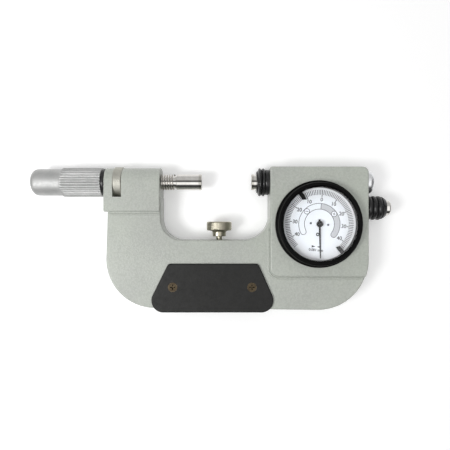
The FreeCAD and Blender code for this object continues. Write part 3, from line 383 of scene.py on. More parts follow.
def make_hammer_group():
    """Hammertone paint: shallow dimples with thin darker seams and fine metal flakes."""
    group, start, end = new_group(
        "hammered_paint",
        [("Vector", "NodeSocketVector", None), ("Dimples per metre", "NodeSocketFloat", 800.0)],
        [("Height", "NodeSocketFloat"), ("Tone", "NodeSocketFloat")],
    )
    vector, density = start.outputs[0], start.outputs[1]
    bend = add(group, "ShaderNodeTexNoise", {"Vector": vector, "Scale": 420.0, "Detail": 2.0})
    centred = {0: bend.outputs["Color"], 1: (0.5, 0.5, 0.5)}
    shift = add(group, "ShaderNodeVectorMath", centred, operation="SUBTRACT")
    small = add(group, "ShaderNodeVectorMath", {0: shift.outputs[0], "Scale": 0.0022}, operation="SCALE")
    moved = add(group, "ShaderNodeVectorMath", {0: vector, 1: small.outputs[0]}, operation="ADD")
    cells = add(
        group,
        "ShaderNodeTexVoronoi",
        {"Vector": moved.outputs[0], "Scale": density, "Smoothness": 0.6},
        feature="SMOOTH_F1",
    )
    flakes = add(group, "ShaderNodeTexNoise", {"Vector": vector, "Scale": 2600.0, "Detail": 2.0})
    clouds = add(group, "ShaderNodeTexNoise", {"Vector": vector, "Scale": 60.0, "Detail": 2.0})
    dimple = remap(group, cells.outputs["Distance"], 0.1, 0.75, 1.0, 0.0)
    grain = remap(group, flakes.outputs["Fac"], 0.3, 0.7, -0.1, 0.1)
    height = add(group, "ShaderNodeMath", {0: dimple, 1: grain}, operation="ADD")
    cloud = remap(group, clouds.outputs["Fac"], 0.3, 0.7, -0.16, 0.16)
    seam = add(group, "ShaderNodeMath", {0: dimple, 1: 0.62}, operation="MULTIPLY")
    tone = add(group, "ShaderNodeMath", {0: seam.outputs[0], 1: grain}, operation="ADD")
    tone = add(group, "ShaderNodeMath", {0: tone.outputs[0], 1: cloud}, operation="ADD")
    group.links.new(height.outputs[0], end.inputs[0])
    group.links.new(tone.outputs[0], end.inputs[1])
    return group


def make_mottle_group():
    """Slow cloudy variation between two levels, for colour and roughness."""
    group, start, end = new_group(
        "mottle",
        [
            ("Vector", "NodeSocketVector", None),
            ("Scale", "NodeSocketFloat", 200.0),
            ("Low", "NodeSocketFloat", 0.0),
            ("High", "NodeSocketFloat", 1.0),
        ],
        [("Value", "NodeSocketFloat")],
    )
    noise = add(
        group,
        "ShaderNodeTexNoise",
        {"Vector": start.outputs[0], "Scale": start.outputs[1], "Detail": 4.0, "Roughness": 0.6},
    )
    level = remap(group, noise.outputs["Fac"], 0.3, 0.7, start.outputs[2], start.outputs[3])
    group.links.new(level, end.inputs[0])
    return group


def make_turning_group():
    """Fine rings left by a lathe, from the distance along or across the piece."""
    group, start, end = new_group(
        "turning_marks",
        [("Along", "NodeSocketFloat", 0.0), ("Rings per metre", "NodeSocketFloat", 5000.0)],
        [("Height", "NodeSocketFloat")],
    )
    place = add(group, "ShaderNodeMath", {0: start.outputs[0], 1: start.outputs[1]}, operation="MULTIPLY")
    along = {"W": place.outputs[0], "Scale": 1.0, "Detail": 2.0}
    noise = add(group, "ShaderNodeTexNoise", along, noise_dimensions="1D")
    group.links.new(noise.outputs["Fac"], end.inputs[0])
    return group


def make_wear_group():
    """Mask that is 1 on outer edges and broken up by noise; it marks worn edges, and on the paint it places
    a painted highlight along the rounds.
    """
    group, start, end = new_group(
        "edge_wear_and_sheen",
        [
            ("Vector", "NodeSocketVector", None),
            ("Width", "NodeSocketFloat", 0.0003),
            ("Amount", "NodeSocketFloat", 1.0),
        ],
        [("Mask", "NodeSocketFloat")],
    )
    rounded = add(group, "ShaderNodeBevel", {"Radius": start.outputs[1]}, samples=4)
    flat = add(group, "ShaderNodeNewGeometry")
    facing = add(
        group,
        "ShaderNodeVectorMath",
        {0: rounded.outputs[0], 1: flat.outputs["True Normal"]},
        operation="DOT_PRODUCT",
    )
    edge = remap(group, facing.outputs["Value"], 0.97, 0.78, 0.0, 1.0)
    noise = add(group, "ShaderNodeTexNoise", {"Vector": start.outputs[0], "Scale": 700.0, "Detail": 3.0})
    broken = remap(group, noise.outputs["Fac"], 0.42, 0.62, 0.0, 1.0)
    mask = add(group, "ShaderNodeMath", {0: edge, 1: broken}, operation="MULTIPLY")
    mask = add(group, "ShaderNodeMath", {0: mask.outputs[0], 1: start.outputs[2]}, operation="MULTIPLY")
    group.links.new(mask.outputs[0], end.inputs[0])
    return group


hammer_group = make_hammer_group()
mottle_group = make_mottle_group()
turning_group = make_turning_group()
wear_and_sheen_group = make_wear_group()


class Finish:
    """A material under construction: its tree, its shader and the object's coordinates."""

    def __init__(self, name, roughness, metallic=0.0, colour=None):
        self.material = bpy.data.materials.new(name)
        self.material.use_nodes = True
        self.tree = self.material.node_tree
        self.shader = self.tree.nodes["Principled BSDF"]
        self.place = add(self.tree, "ShaderNodeTexCoord").outputs["Object"]
        self.set("Roughness", roughness)
        self.set("Metallic", metallic)
        if colour:
            self.set("Base Color", (*colour, 1.0))

    def set(self, socket, value):
        if isinstance(value, bpy.types.NodeSocket):
            self.tree.links.new(value, self.shader.inputs[socket])
        else:
            self.shader.inputs[socket].default_value = value

    def group(self, group, **inputs):
        node = self.tree.nodes.new("ShaderNodeGroup")
        node.node_tree = group
        for key, value in inputs.items():
            label = key.replace("_", " ")
            if isinstance(value, bpy.types.NodeSocket):
                self.tree.links.new(value, node.inputs[label])
            else:
                node.inputs[label].default_value = value
        return node

    def mottle(self, scale, low, high):
        return self.group(mottle_group, Vector=self.place, Scale=scale, Low=low, High=high).outputs[0]

    def wear(self, width, amount):
        return self.group(wear_and_sheen_group, Vector=self.place, Width=width, Amount=amount).outputs[0]

    def coordinate(self, axis):
        return add(self.tree, "ShaderNodeSeparateXYZ", {0: self.place}).outputs[axis]

    def across(self, x, y):
        """Distance from a line along Z through x and y, in metres."""
        kind = "ShaderNodeVectorMath"
        moved = add(self.tree, kind, {0: self.place, 1: (x, y, 0)}, operation="SUBTRACT")
        flat = add(self.tree, kind, {0: moved.outputs[0], 1: (1, 1, 0)}, operation="MULTIPLY")
        return add(self.tree, kind, {0: flat.outputs[0]}, operation="LENGTH").outputs["Value"]

    def rings(self, along, per_metre):
        return self.group(turning_group, Along=along, Rings_per_metre=per_metre).outputs[0]

    def mix(self, factor, first, second):
        """Blends two colours, each a triple or a socket."""
        node = add(self.tree, "ShaderNodeMix", data_type="RGBA")
        for socket, value in ((node.inputs[0], factor), (node.inputs[6], first), (node.inputs[7], second)):
            if isinstance(value, bpy.types.NodeSocket):
                self.tree.links.new(value, socket)
            elif isinstance(value, tuple):
                socket.default_value = (*value, 1.0)
            else:
                socket.default_value = value
        return node.outputs[2]

    def bump(self, height, distance, strength=1.0):
        sockets = {"Height": height, "Distance": distance, "Strength": strength}
        node = add(self.tree, "ShaderNodeBump", sockets)
        self.set("Normal", node.outputs[0])


def srgb(red, green, blue):
    """Linear colour from 0 to 255 values."""
    shares = [level / 255 for level in (red, green, blue)]
    return tuple(((c + 0.055) / 1.055) ** 2.4 if c > 0.04 else c / 12.92 for c in shares)


def hammered_paint():
    finish = Finish("grey_hammered_paint", 0.4)
    pattern = finish.group(hammer_group, Vector=finish.place, Dimples_per_metre=1250.0)
    tone = remap(finish.tree, pattern.outputs["Tone"], 0.0, 0.75, 0.0, 1.0)
    colour = finish.mix(tone, srgb(170, 173, 167), srgb(190, 193, 187))
    green = finish.mottle(30.0, 0.0, 0.4)
    colour = finish.mix(green, colour, srgb(176, 185, 169))
    # Painted highlight: lighter paint along the rounded edges stands in for the light that the rounds catch.
    colour = finish.mix(finish.wear(0.0006, 0.75), colour, srgb(226, 228, 222))
    finish.set("Base Color", colour)
    finish.set("Roughness", remap(finish.tree, pattern.outputs["Height"], 0.0, 1.0, 0.5, 0.34))
    finish.set("Coat Weight", 0.5)
    finish.set("Coat Roughness", 0.22)
    finish.bump(pattern.outputs["Height"], 0.00006)
    return finish.material


def grip_plastic():
    finish = Finish("black_grip_plastic", 0.5)
    fine = finish.mottle(2600.0, 0.0, 1.0)
    worn = finish.mottle(70.0, 0.0, 1.0)
    colour = finish.mix(fine, srgb(17, 17, 16), srgb(35, 35, 34))
    colour = finish.mix(worn, colour, srgb(30, 30, 29))
    colour = finish.mix(finish.wear(0.0003, 0.5), colour, srgb(84, 84, 82))
    finish.set("Base Color", colour)
    finish.set("Specular IOR Level", 0.32)
    finish.set("Roughness", finish.mottle(500.0, 0.42, 0.62))
    finish.bump(fine, 0.00003)
    return finish.material


def metal(
    name, dark, light, rough_low, rough_high, rings_along=None, per_metre=5000.0, ring_height=4e-6, wear=None
):
    """Bare or plated metal: two close tones, uneven polish and, if turned, lathe rings."""
    finish = Finish(name, rough_low, metallic=1.0)
    colour = finish.mix(finish.mottle(260.0, 0.0, 1.0), dark, light)
    if wear:
        colour = finish.mix(finish.wear(0.0002, 0.8), colour, wear)
    finish.set("Base Color", colour)
    finish.set("Roughness", finish.mottle(900.0, rough_low, rough_high))
    if rings_along is None:
        finish.bump(finish.mottle(1800.0, 0.0, 1.0), ring_height)
    else:
        finish.bump(finish.rings(finish.coordinate(rings_along), per_metre), ring_height)
    return finish.material


def black_rubber():
    finish = Finish("black_rubber", 0.3)
    dust = finish.mottle(900.0, 0.0, 1.0)
    finish.set("Base Color", finish.mix(dust, srgb(16, 16, 17), srgb(34, 34, 35)))
    finish.set("Roughness", finish.mottle(350.0, 0.2, 0.42))
    finish.bump(dust, 0.00001)
    return finish.material


def dial_enamel(x, y):
    """White enamel, a little blue in the middle; the grey towards the rim is painted shade from the bezel.
    """
    finish = Finish("white_dial_enamel", 0.35)
    # Painted shade: the enamel turns grey towards the rim, where the bezel shades the dial.
    rim = remap(finish.tree, finish.across(x, y), 0.011, 0.0178, 0.0, 1.0)
    colour = finish.mix(rim, srgb(238, 241, 244), srgb(216, 216, 215))
    colour = finish.mix(finish.mottle(1500.0, 0.0, 0.3), colour, srgb(232, 236, 242))
    finish.set("Base Color", colour)
    finish.bump(finish.mottle(2500.0, 0.0, 1.0), 2e-6)
    return finish.material


def printing_ink(name, dark, light):
    finish = Finish(name, 0.55)
    finish.set("Base Color", finish.mix(finish.mottle(3000.0, 0.0, 1.0), dark, light))
    return finish.material


def blackened_metal(x, y):
    """Black satin bezel with faint rings and slightly lighter edges."""
    finish = Finish("blackened_bezel", 0.3)
    colour = finish.mix(finish.mottle(300.0, 0.0, 1.0), srgb(4, 4, 4), srgb(9, 9, 9))
    colour = finish.mix(finish.wear(0.0002, 0.45), colour, srgb(70, 70, 68))
    finish.set("Base Color", colour)
    finish.set("Specular IOR Level", 0.08)
    finish.set("Roughness", finish.mottle(420.0, 0.3, 0.46))
    finish.bump(finish.rings(finish.across(x, y), 7000.0), 3e-6)
    return finish.material


def clear_crystal():
    """Clear dial glass that lets the light through to the dial."""
    finish = Finish("clear_crystal", 0.0, colour=(0.985, 0.99, 1.0))
    finish.set("Transmission Weight", 1.0)
    finish.set("IOR", 1.49)
    finish.set("Specular IOR Level", 0.2)
    finish.bump(finish.mottle(60.0, 0.0, 1.0), 2e-6)
    tree = finish.tree
    path = add(tree, "ShaderNodeLightPath")
    clear = add(tree, "ShaderNodeBsdfTransparent", {"Color": (0.96, 0.97, 0.98, 1.0)})
    mixed = add(tree, "ShaderNodeMixShader", {0: path.outputs["Is Shadow Ray"]})
    tree.links.new(finish.shader.outputs[0], mixed.inputs[1])
    tree.links.new(clear.outputs[0], mixed.inputs[2])
    tree.links.new(mixed.outputs[0], tree.nodes["Material Output"].inputs["Surface"])
    return finish.material


dial_low, dial_high = node_box("dial_plate")
dial_x, dial_y = ((dial_low + dial_high) / 2).xy
dial_top = dial_high.z
dial_axis = (dial_x * MM, dial_y * MM)

paint = hammered_paint()
plastic = grip_plastic()
rubber = black_rubber()
enamel = dial_enamel(*dial_axis)
bezel_black = blackened_metal(*dial_axis)
glass = clear_crystal()
ink_black = printing_ink("black_ink", srgb(14, 14, 16), srgb(34, 34, 38))
ink_grey = printing_ink("grey_ink", srgb(188, 189, 193), srgb(200, 201, 204))
ink_white = printing_ink("white_ink", srgb(244, 246, 250), srgb(236, 238, 244))
bronzed = metal(
    "bronzed_screw_steel", srgb(62, 54, 44), srgb(88, 78, 62), 0.34, 0.48, wear=srgb(150, 138, 116)
)
satin_chrome = metal("satin_chrome", srgb(186, 187, 186), srgb(197, 197, 196), 0.58, 0.68, 0, 6000.0)
knurled_steel = metal(
    "knurled_steel", srgb(180, 179, 170), srgb(194, 193, 184), 0.5, 0.6, wear=srgb(214, 213, 205)
)
ground_steel = metal("ground_steel", srgb(206, 203, 198), srgb(222, 220, 216), 0.06, 0.13, 0, 9000.0, 2e-6)
thread_steel = metal(
    "thread_steel", srgb(178, 174, 168), srgb(204, 200, 194), 0.16, 0.26, wear=srgb(230, 228, 222)
)
carbide = metal("lapped_carbide", srgb(184, 181, 174), srgb(200, 197, 190), 0.07, 0.14)
nickel = metal(
    "aged_nickel", srgb(164, 160, 142), srgb(188, 183, 166), 0.26, 0.38, wear=srgb(222, 216, 200)
)
bright_chrome = metal("bright_chrome", srgb(228, 229, 230), srgb(236, 238, 240), 0.24, 0.34)
inner_steel = metal("turned_steel", srgb(176, 176, 176), srgb(200, 200, 200), 0.22, 0.34)
spring_steel = metal("spring_wire", srgb(150, 150, 150), srgb(176, 176, 178), 0.2, 0.3)
bronze = metal("turned_bronze", srgb(196, 158, 98), srgb(216, 178, 116), 0.24, 0.36)
brass = metal("grained_brass", srgb(206, 178, 108), srgb(222, 196, 126), 0.22, 0.34)
lacquer = metal("black_lacquer", srgb(8, 8, 9), srgb(18, 18, 19), 0.4, 0.5)
blued = metal("blued_screw_steel", srgb(60, 62, 74), srgb(84, 86, 98), 0.2, 0.3)

finishes = {
    "paint": paint,
    "grip_plastic": plastic,
    "screw_steel": bronzed,
    "satin_chrome": satin_chrome,
    "ground_steel": ground_steel,
    "carbide": carbide,
    "nickel": nickel,
    "bright_chrome": bright_chrome,
    "rubber": rubber,
    "inner_steel": inner_steel,
    "spring_steel": spring_steel,
    "bronze": bronze,
    "movement_brass": brass,
    "dial_white": enamel,
    "blackened": bezel_black,
    "black_steel": lacquer,
    "dial_screw_steel": blued,
    "crystal": glass,
}

# Every CAD piece gets its finish, and all that aren't remade below are shown as welded copies
slot_of = {part["node"]: part["material_slot"] for part in frame["record"]["subparts"]}
for name, node in nodes.items():
    material = finishes[slot_of[name]]
    if node.material_slots:
        node.material_slots[0].material = material
    else:
        node.data.materials.append(material)

remade_here = {
    "spindle",
    "adjusting_nut",
    "stop_screw",
    "clamp_cap",
    "anvil_bellows",
    "button_bellows",
    "tolerance_marker_low",
    "tolerance_marker_high",
}
for name in sorted(set(nodes) - remade_here):
    welded_copy(name, finishes[slot_of[name]])


def spindle_core():
    """Shank with the thread's root behind, the run-out groove and the polished front."""
    low, high = node_box("spindle")
    front = high.x - spindle_smooth
    groove = front - relief_width
    profile = [
        (low.x, 0),
        (low.x, thread_root_r - small_chamfer),
        (low.x + small_chamfer, thread_root_r),
        (groove, thread_root_r),
        (groove, relief_r),
        (front, relief_r),
        (front, spindle_r - small_chamfer),
        (front + small_chamfer, spindle_r),
        (high.x, spindle_r),
        (high.x, 0),
    ]
    piece = make_piece("spindle_core", turned(profile, 96), ground_steel)
    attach(piece, "spindle")
    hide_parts("spindle")


def spindle_thread():
    """One ridge wound round the shank."""
    low, high = node_box("spindle")
    start = low.x + thread_pitch
    end = high.x - spindle_smooth - relief_width - thread_base_half
    turns = math.floor((end - start) / thread_pitch)
    first = end - turns * thread_pitch
    bm = bmesh.new()
    inside = thread_root_r - 0.05
    corners = [
        (first - thread_base_half, inside),
        (first - thread_crest_half, thread_crest_r),
        (first + thread_crest_half, thread_crest_r),
        (first + thread_base_half, inside),
    ]
    verts = [bm.verts.new((x, r, 0)) for x, r in corners]
    face = bm.faces.new(verts)
    bmesh.ops.spin(
        bm,
        geom=[face] + list(face.edges) + verts,
        cent=(0, 0, 0),
        axis=(1, 0, 0),
        dvec=(thread_pitch / thread_steps, 0, 0),
        angle=FULL_TURN * turns,
        steps=thread_steps * turns,
        use_merge=False,
        use_duplicate=False,
    )
    piece = make_piece("spindle_thread", bm, thread_steel)
    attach(piece, "spindle")
    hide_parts("spindle")


def knurled_nut():
    """Ring in the head's slot with crossed knurling."""
    low, high = node_box("adjusting_nut")
    radius = high.z
    inner = spindle_r + nut_bore_gap
    band_start, band_end_x = low.x + nut_chamfer, high.x - nut_chamfer
    rows = round((band_end_x - band_start) / nut_knurl_pitch * samples_per_knurl)
    profile = [(low.x, inner), (low.x, radius - nut_chamfer)]
    profile += [(x, radius) for x in between(band_start, band_end_x, rows)]
    profile += [(high.x, radius - nut_chamfer), (high.x, inner)]
    around = round(FULL_TURN * radius / nut_knurl_pitch) * samples_per_knurl
    bm = turned(profile, around, closed=True)
    press_knurl(bm, band_start, band_end_x, radius, nut_knurl_pitch, nut_knurl_depth)
    piece = make_piece("nut_knurled", bm, knurled_steel)
    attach(piece, "nut")
    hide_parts("adjusting_nut")


def knurled_stop_screw():
    """Thumb screw: thin stem, collar with a flare, knurled head with rounded edges."""
    low, high = node_box("stop_screw")
    axis_x = (low.x + high.x) / 2
    head_r = (high.x - low.x) / 2
    head_low, head_high = high.y - stop_head_height, high.y
    collar_low = head_low - stop_collar_height
    band_start, band_top = head_low + stop_plain_edge, head_high - stop_plain_edge
    rows = round((band_top - band_start) / stop_knurl_pitch * samples_per_knurl)
    profile = [
        (low.y, 0),
        (low.y, stop_stem_r - 0.2),
        (low.y + 0.2, stop_stem_r),
        (collar_low, stop_stem_r),
        (collar_low, stop_collar_r - small_chamfer),
        (collar_low + small_chamfer, stop_collar_r),
        (head_low - 0.75, stop_collar_r),
        (head_low - 0.45, stop_collar_r + small_chamfer),
        (head_low - 0.2, 3.95),
        (head_low, stop_flare_r),
        (head_low + 0.05, head_r - 0.6),
        (head_low + 0.3, head_r - 0.15),
    ]
    profile += [(y, head_r) for y in between(band_start, band_top, rows)]
    profile += [
        (head_high - 0.25, head_r - 0.15),
        (head_high - 0.05, head_r - 0.5),
        (head_high, head_r - 0.9),
        (head_high, stop_centre_r),
        (head_high - stop_centre_depth, stop_centre_r - 0.4),
        (head_high - stop_centre_depth, 0),
    ]
    around = round(FULL_TURN * head_r / stop_knurl_pitch) * samples_per_knurl
    bm = turned(profile, around)
    press_knurl(bm, band_start, band_top, head_r, stop_knurl_pitch, stop_knurl_depth)
    stand(bm, x=axis_x, along_y=True)
    piece = make_piece("stop_screw_knurled", bm, nickel)
    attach(piece, "stop")
    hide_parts("stop_screw")


def fluted_cap():
    """Clamping cap with round-bottomed flutes that run out at both ends."""
    low, high = node_box("clamp_cap")
    back, front = low.x, high.x
    grip_back = front - cap_grip_length
    grip_r, nose_r, bore_r = high.z, cap_nose_r, cap_bore_r
    profile = [(back, 0), (back + 0.08, 1.6), (back + 0.25, 3.0)]
    for turn in between(0, math.pi / 2, 8):
        along = cap_end_crown + cap_nose_round * (1 - math.cos(turn))
        profile.append((back + along, nose_r - cap_nose_round * (1 - math.sin(turn))))
    profile += [(x, nose_r) for x in between(back + 5.0, grip_back - 0.35, 6)]
    profile += [(grip_back - 0.1, nose_r + 0.08), (grip_back, nose_r + 0.3)]
    profile += [(grip_back + 0.12, grip_r - 0.1)]
    profile += [(x, grip_r) for x in between(grip_back + 0.4, front - 0.3, 44)]
    profile += [(front - 0.08, grip_r - 0.15), (front, grip_r - 0.35), (front, bore_r)]
    profile += [(front - cap_bore_depth, bore_r)]
    profile += [(front - cap_bore_depth, cap_seat_r), (back + cap_floor, cap_seat_r), (back + cap_floor, 0)]
    bm = turned(profile, cap_flutes * cap_steps_per_flute)
    for vert in bm.verts:
        x, y, z = vert.co
        r = math.hypot(y, z)
        if r < grip_r - 0.4 or x < grip_back:
            continue
        wave = 0.5 - 0.5 * math.cos(math.atan2(z, y) * cap_flutes)
        reach = min(1.0, (x - grip_back) / cap_runout, (front - x) / 0.5)
        shrink = 1 - cap_flute_depth * max(0.0, reach) * wave**cap_flute_sharpness / r
        vert.co = (x, y * shrink, z * shrink)
    piece = make_piece("clamp_cap_fluted", bm, satin_chrome)
    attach(piece, "cap")
    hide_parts("clamp_cap")


def rib(start, pitch, rib_r, valley_r, samples=10):
    """Corners of one soft rib from valley to valley."""
    corners = []
    for share in between(0, 1, samples)[:-1]:
        rise = max(0.0, math.sin(math.pi * share)) ** rib_fullness
        corners.append((start + share * pitch, valley_r + (rib_r - valley_r) * rise))
    return corners


def anvil_boot():
    """Rubber bellows over the anvil: neck, two soft ribs and a flange on the housing."""
    low, high = node_box("anvil_bellows")
    start, end = low.x, high.x
    rib_r = high.z
    flange = end - anvil_boot_flange
    neck = start + anvil_boot_neck
    pitch = (flange - neck) / 2
    profile = [(start, anvil_boot_bore_r), (start, 5.1), (start + 0.12, 5.32)]
    profile += [(neck - 0.2, 5.45), (neck, 5.8)]
    profile += rib(neck + 0.05, pitch, rib_r, anvil_boot_valley_r)
    profile += rib(neck + 0.05 + pitch, pitch, rib_r - 0.05, anvil_boot_valley_r)
    flange_r = anvil_boot_flange_r
    profile += [(flange + 0.05, flange_r - 0.4), (flange + 0.2, flange_r - 0.15), (flange + 0.5, flange_r)]
    profile += [(end - 0.35, flange_r), (end - 0.1, flange_r - 0.1), (end, flange_r - 0.3)]
    profile += [(end, anvil_boot_seat_r), (flange + 0.4, anvil_boot_seat_r), (flange - 0.4, 5.4)]
    profile += [(neck + 0.3, 4.9), (neck, anvil_boot_bore_r)]
    bm = turned(profile, 96, closed=True)
    piece = make_piece("anvil_boot", bm, rubber)
    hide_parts("anvil_bellows")
    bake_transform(piece)


def button_boot():
    """Rubber bellows of the button: foot, three soft ribs and a tapered collar."""
    low, high = node_box("button_bellows")
    start, end = low.x, high.x
    axis_y = (low.y + high.y) / 2
    rib_r = high.z
    collar = end - button_boot_collar
    first = start + button_boot_foot
    pitch = (collar - first) / button_boot_ribs
    profile = [(start, button_boot_bore_r), (start, 5.3), (start + 0.1, 5.5)]
    for i in range(button_boot_ribs):
        profile += rib(first + i * pitch, pitch, rib_r, button_boot_valley_r)
    profile += [(collar, 5.3), (collar + 0.12, 5.55), (collar + 0.35, 5.6), (end - 0.6, 5.02)]
    profile += [(end - 0.25, 4.8), (end - 0.05, 4.6), (end, button_boot_inner_r)]
    profile += [(end, button_boot_end_bore_r), (end - 1.2, button_boot_end_bore_r)]
    profile += [(end - 1.3, button_boot_inner_r), (start + 2.6, button_boot_inner_r)]
    profile += [(start + 2.5, button_boot_bore_r)]
    bm = turned(profile, 96, closed=True)
    stand(bm, y=axis_y)
    piece = make_piece("button_boot", bm, rubber)
    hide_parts("button_bellows")
    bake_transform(piece)


# Dial print, made about the dial's centre with the zero mark up, then turned and set in place
def bar(bm, x, y, width, length, low, high):
    """Thin block along Y; returns its corners."""
    verts = bmesh.ops.create_cube(bm, size=1.0)["verts"]
    bmesh.ops.scale(bm, vec=(width, length, high - low), verts=verts)
    bmesh.ops.translate(bm, vec=(x, y, (low + high) / 2), verts=verts)
    return verts


def swing(bm, verts, angle):
    """Turns corners clockwise about the dial's centre."""
    matrix = Matrix.Rotation(-math.radians(angle), 3, "Z")
    bmesh.ops.rotate(bm, cent=(0, 0, 0), matrix=matrix, verts=verts)


def arc(bm, inner, outer, start, end, low, high, middle=(0.0, 0.0)):
    """Flat band round a centre, between two clock angles."""
    side = Vector((math.sin(math.radians(start)), math.cos(math.radians(start)), 0))
    corners = [(inner, low), (outer, low), (outer, high), (inner, high)]
    centre = Vector((*middle, 0))
    verts = [bm.verts.new(centre + side * r + Vector((0, 0, z))) for r, z in corners]
    whole = abs(end - start) >= 359.9
    face = bm.faces.new(verts)
    geom = verts + list(face.edges) + [face]
    if whole:
        edges = list(face.edges)
        bm.faces.remove(face)
        geom = verts + edges
    bmesh.ops.spin(
        bm,
        geom=geom,
        cent=centre,
        axis=(0, 0, 1),
        dvec=(0, 0, 0),
        angle=-math.radians(end - start),
        steps=max(8, round(abs(end - start) / 5)),
        use_merge=whole,
        use_duplicate=False,
    )


def disc(bm, x, y, radius, low, high):
    verts = bmesh.ops.create_cone(
        bm, cap_ends=True, segments=32, radius1=radius, radius2=radius, depth=high - low
    )["verts"]
    bmesh.ops.translate(bm, vec=(x, y, (low + high) / 2), verts=verts)


def on_dial(radius, angle):
    """Point at a clock angle from the zero mark, before the dial is turned."""
    return radius * math.sin(math.radians(angle)), radius * math.cos(math.radians(angle))


def set_on_dial(name, bm, material, layer=0):
    """Turns the print with the dial and lays it on its face."""
    swing(bm, bm.verts, dial_turn)
    bmesh.ops.translate(bm, vec=(dial_x, dial_y, dial_top + layer * ink), verts=bm.verts)
    piece = make_piece(name, bm, material)
    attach(piece, "frame")


def add_words(bm, words, size, x, y, turn=0.0):
    """Flat lettering centred on a point."""
    curve = bpy.data.curves.new("lettering", "FONT")
    curve.body = words
    curve.size = size
    curve.align_x = "CENTER"
    curve.align_y = "CENTER"
    curve.extrude = ink / 2
    curve.offset = letter_weight
    text = bpy.data.objects.new("lettering", curve)
    bpy.context.scene.collection.objects.link(text)
    bpy.context.view_layer.update()
    mesh = bpy.data.meshes.new_from_object(text)
    bpy.data.objects.remove(text)
    spin = Matrix.Rotation(-math.radians(turn), 4, "Z")
    mesh.transform(Matrix.Translation((x, y, ink / 2)) @ spin)
    bm.from_mesh(mesh)


def print_scale():
    bm = bmesh.new()
    for i in range(-last_tick, last_tick + 1):
        long_one = i % 10 == 0
        inner = long_tick_inner_r if long_one else tick_inner_r
        width = long_tick_width if long_one else tick_width
        middle = (inner + tick_outer_r) / 2
        verts = bar(bm, 0, middle, width, tick_outer_r - inner, 0, ink)
        swing(bm, verts, i * tick_step)
    set_on_dial("dial_ticks", bm, ink_black)


def print_numbers():
    bm = bmesh.new()
    for number in range(0, 50, 10):
        for side in (-1, 1) if number else (1,):
            x, y = on_dial(number_r, side * number * tick_step)
            add_words(bm, str(number), number_size, x, y)
    set_on_dial("dial_numbers", bm, ink_black)


def print_bands():
    """White minus band on the left and grey plus band on the right, both outlined."""
    middle_r = (band_inner_r + band_outer_r) / 2
    half = (band_outer_r - band_inner_r) / 2
    grey = bmesh.new()
    arc(grey, band_inner_r, band_outer_r, 0, band_end, 0, ink)
    arc(grey, 0.01, half, band_end, band_end + 180, 0, ink, on_dial(middle_r, band_end))
    set_on_dial("dial_band_grey", grey, ink_grey)
    lines = bmesh.new()
    for side in (-1, 1):
        arc(lines, band_outer_r - band_line, band_outer_r, 0, side * band_end, 0, ink)
        arc(lines, band_inner_r, band_inner_r + band_line, 0, side * band_end, 0, ink)
        end = on_dial(middle_r, side * band_end)
        arc(lines, half - band_line, half, side * band_end, side * (band_end + 180), 0, ink, end)
    bar(lines, 0, middle_r, band_line, band_outer_r - band_inner_r, 0, ink)
    set_on_dial("dial_band_lines", lines, ink_black, 1)


def print_signs():
    """Circled minus and plus on the bands."""
    middle_r = (band_inner_r + band_outer_r) / 2
    white = bmesh.new()
    lines = bmesh.new()
    for side in (-1, 1):
        x, y = on_dial(middle_r, side * sign_angle)
        disc(white, x, y, sign_r, 0, ink)
        arc(lines, sign_r - band_line, sign_r, 0, 360, 0, ink, (x, y))
        bar(lines, x, y, sign_r, band_line, 0, ink)
        if side > 0:
            bar(lines, x, y, band_line, sign_r, 0, ink)
    set_on_dial("dial_sign_grounds", white, ink_white, 2)
    set_on_dial("dial_signs", lines, ink_black, 3)


def print_unit():
    """Unit, two arrow heads and the ring mark under the pointer."""
    bm = bmesh.new()
    add_words(bm, "0,001 mm", unit_size, *unit_place)
    for x, side in zip(arrow_places, (1, -1)):
        base, tip = x - side * arrow_half_length, x + side * arrow_half_length
        verts = [
            bm.verts.new((base, arrow_y - arrow_half_height, 0)),
            bm.verts.new((tip, arrow_y, 0)),
            bm.verts.new((base, arrow_y + arrow_half_height, 0)),
        ]
        face = bm.faces.new(verts)
        raised = bmesh.ops.extrude_face_region(bm, geom=[face])["geom"]
        top = [part for part in raised if isinstance(part, bmesh.types.BMVert)]
        bmesh.ops.translate(bm, vec=(0, 0, ink), verts=top)
    arc(bm, centre_mark_r * 0.35, centre_mark_r, 0, 360, 0, ink, centre_mark_place)
    set_on_dial("dial_unit", bm, ink_black)


def marker(name, body, node, angle):
    """Tolerance marker: a curved shoe under the rim and a broad blade with a slanted end."""
    low, high = node_box(node)
    bm = bmesh.new()
    half_shoe = marker_shoe / 2
    shoe_inner = marker_shoe_r - marker_shoe_width
    arc(bm, shoe_inner, marker_shoe_r, angle - half_shoe, angle + half_shoe, low.z, high.z)
    blade_end = marker_shoe_r - marker_blade_inset
    middle = (marker_inner_r + blade_end) / 2
    length = blade_end - marker_inner_r
    blade = bar(bm, 0, middle, marker_blade_width, length, low.z, low.z + marker_blade_height)
    for vert in blade:
        if vert.co.y < middle:
            vert.co.y += marker_slant * (0.5 - vert.co.x / marker_blade_width)
    swing(bm, blade, angle)
    bmesh.ops.translate(bm, vec=(dial_x, dial_y, 0), verts=bm.verts)
    piece = make_piece(name, bm, lacquer)
    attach(piece, body)
    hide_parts(node)


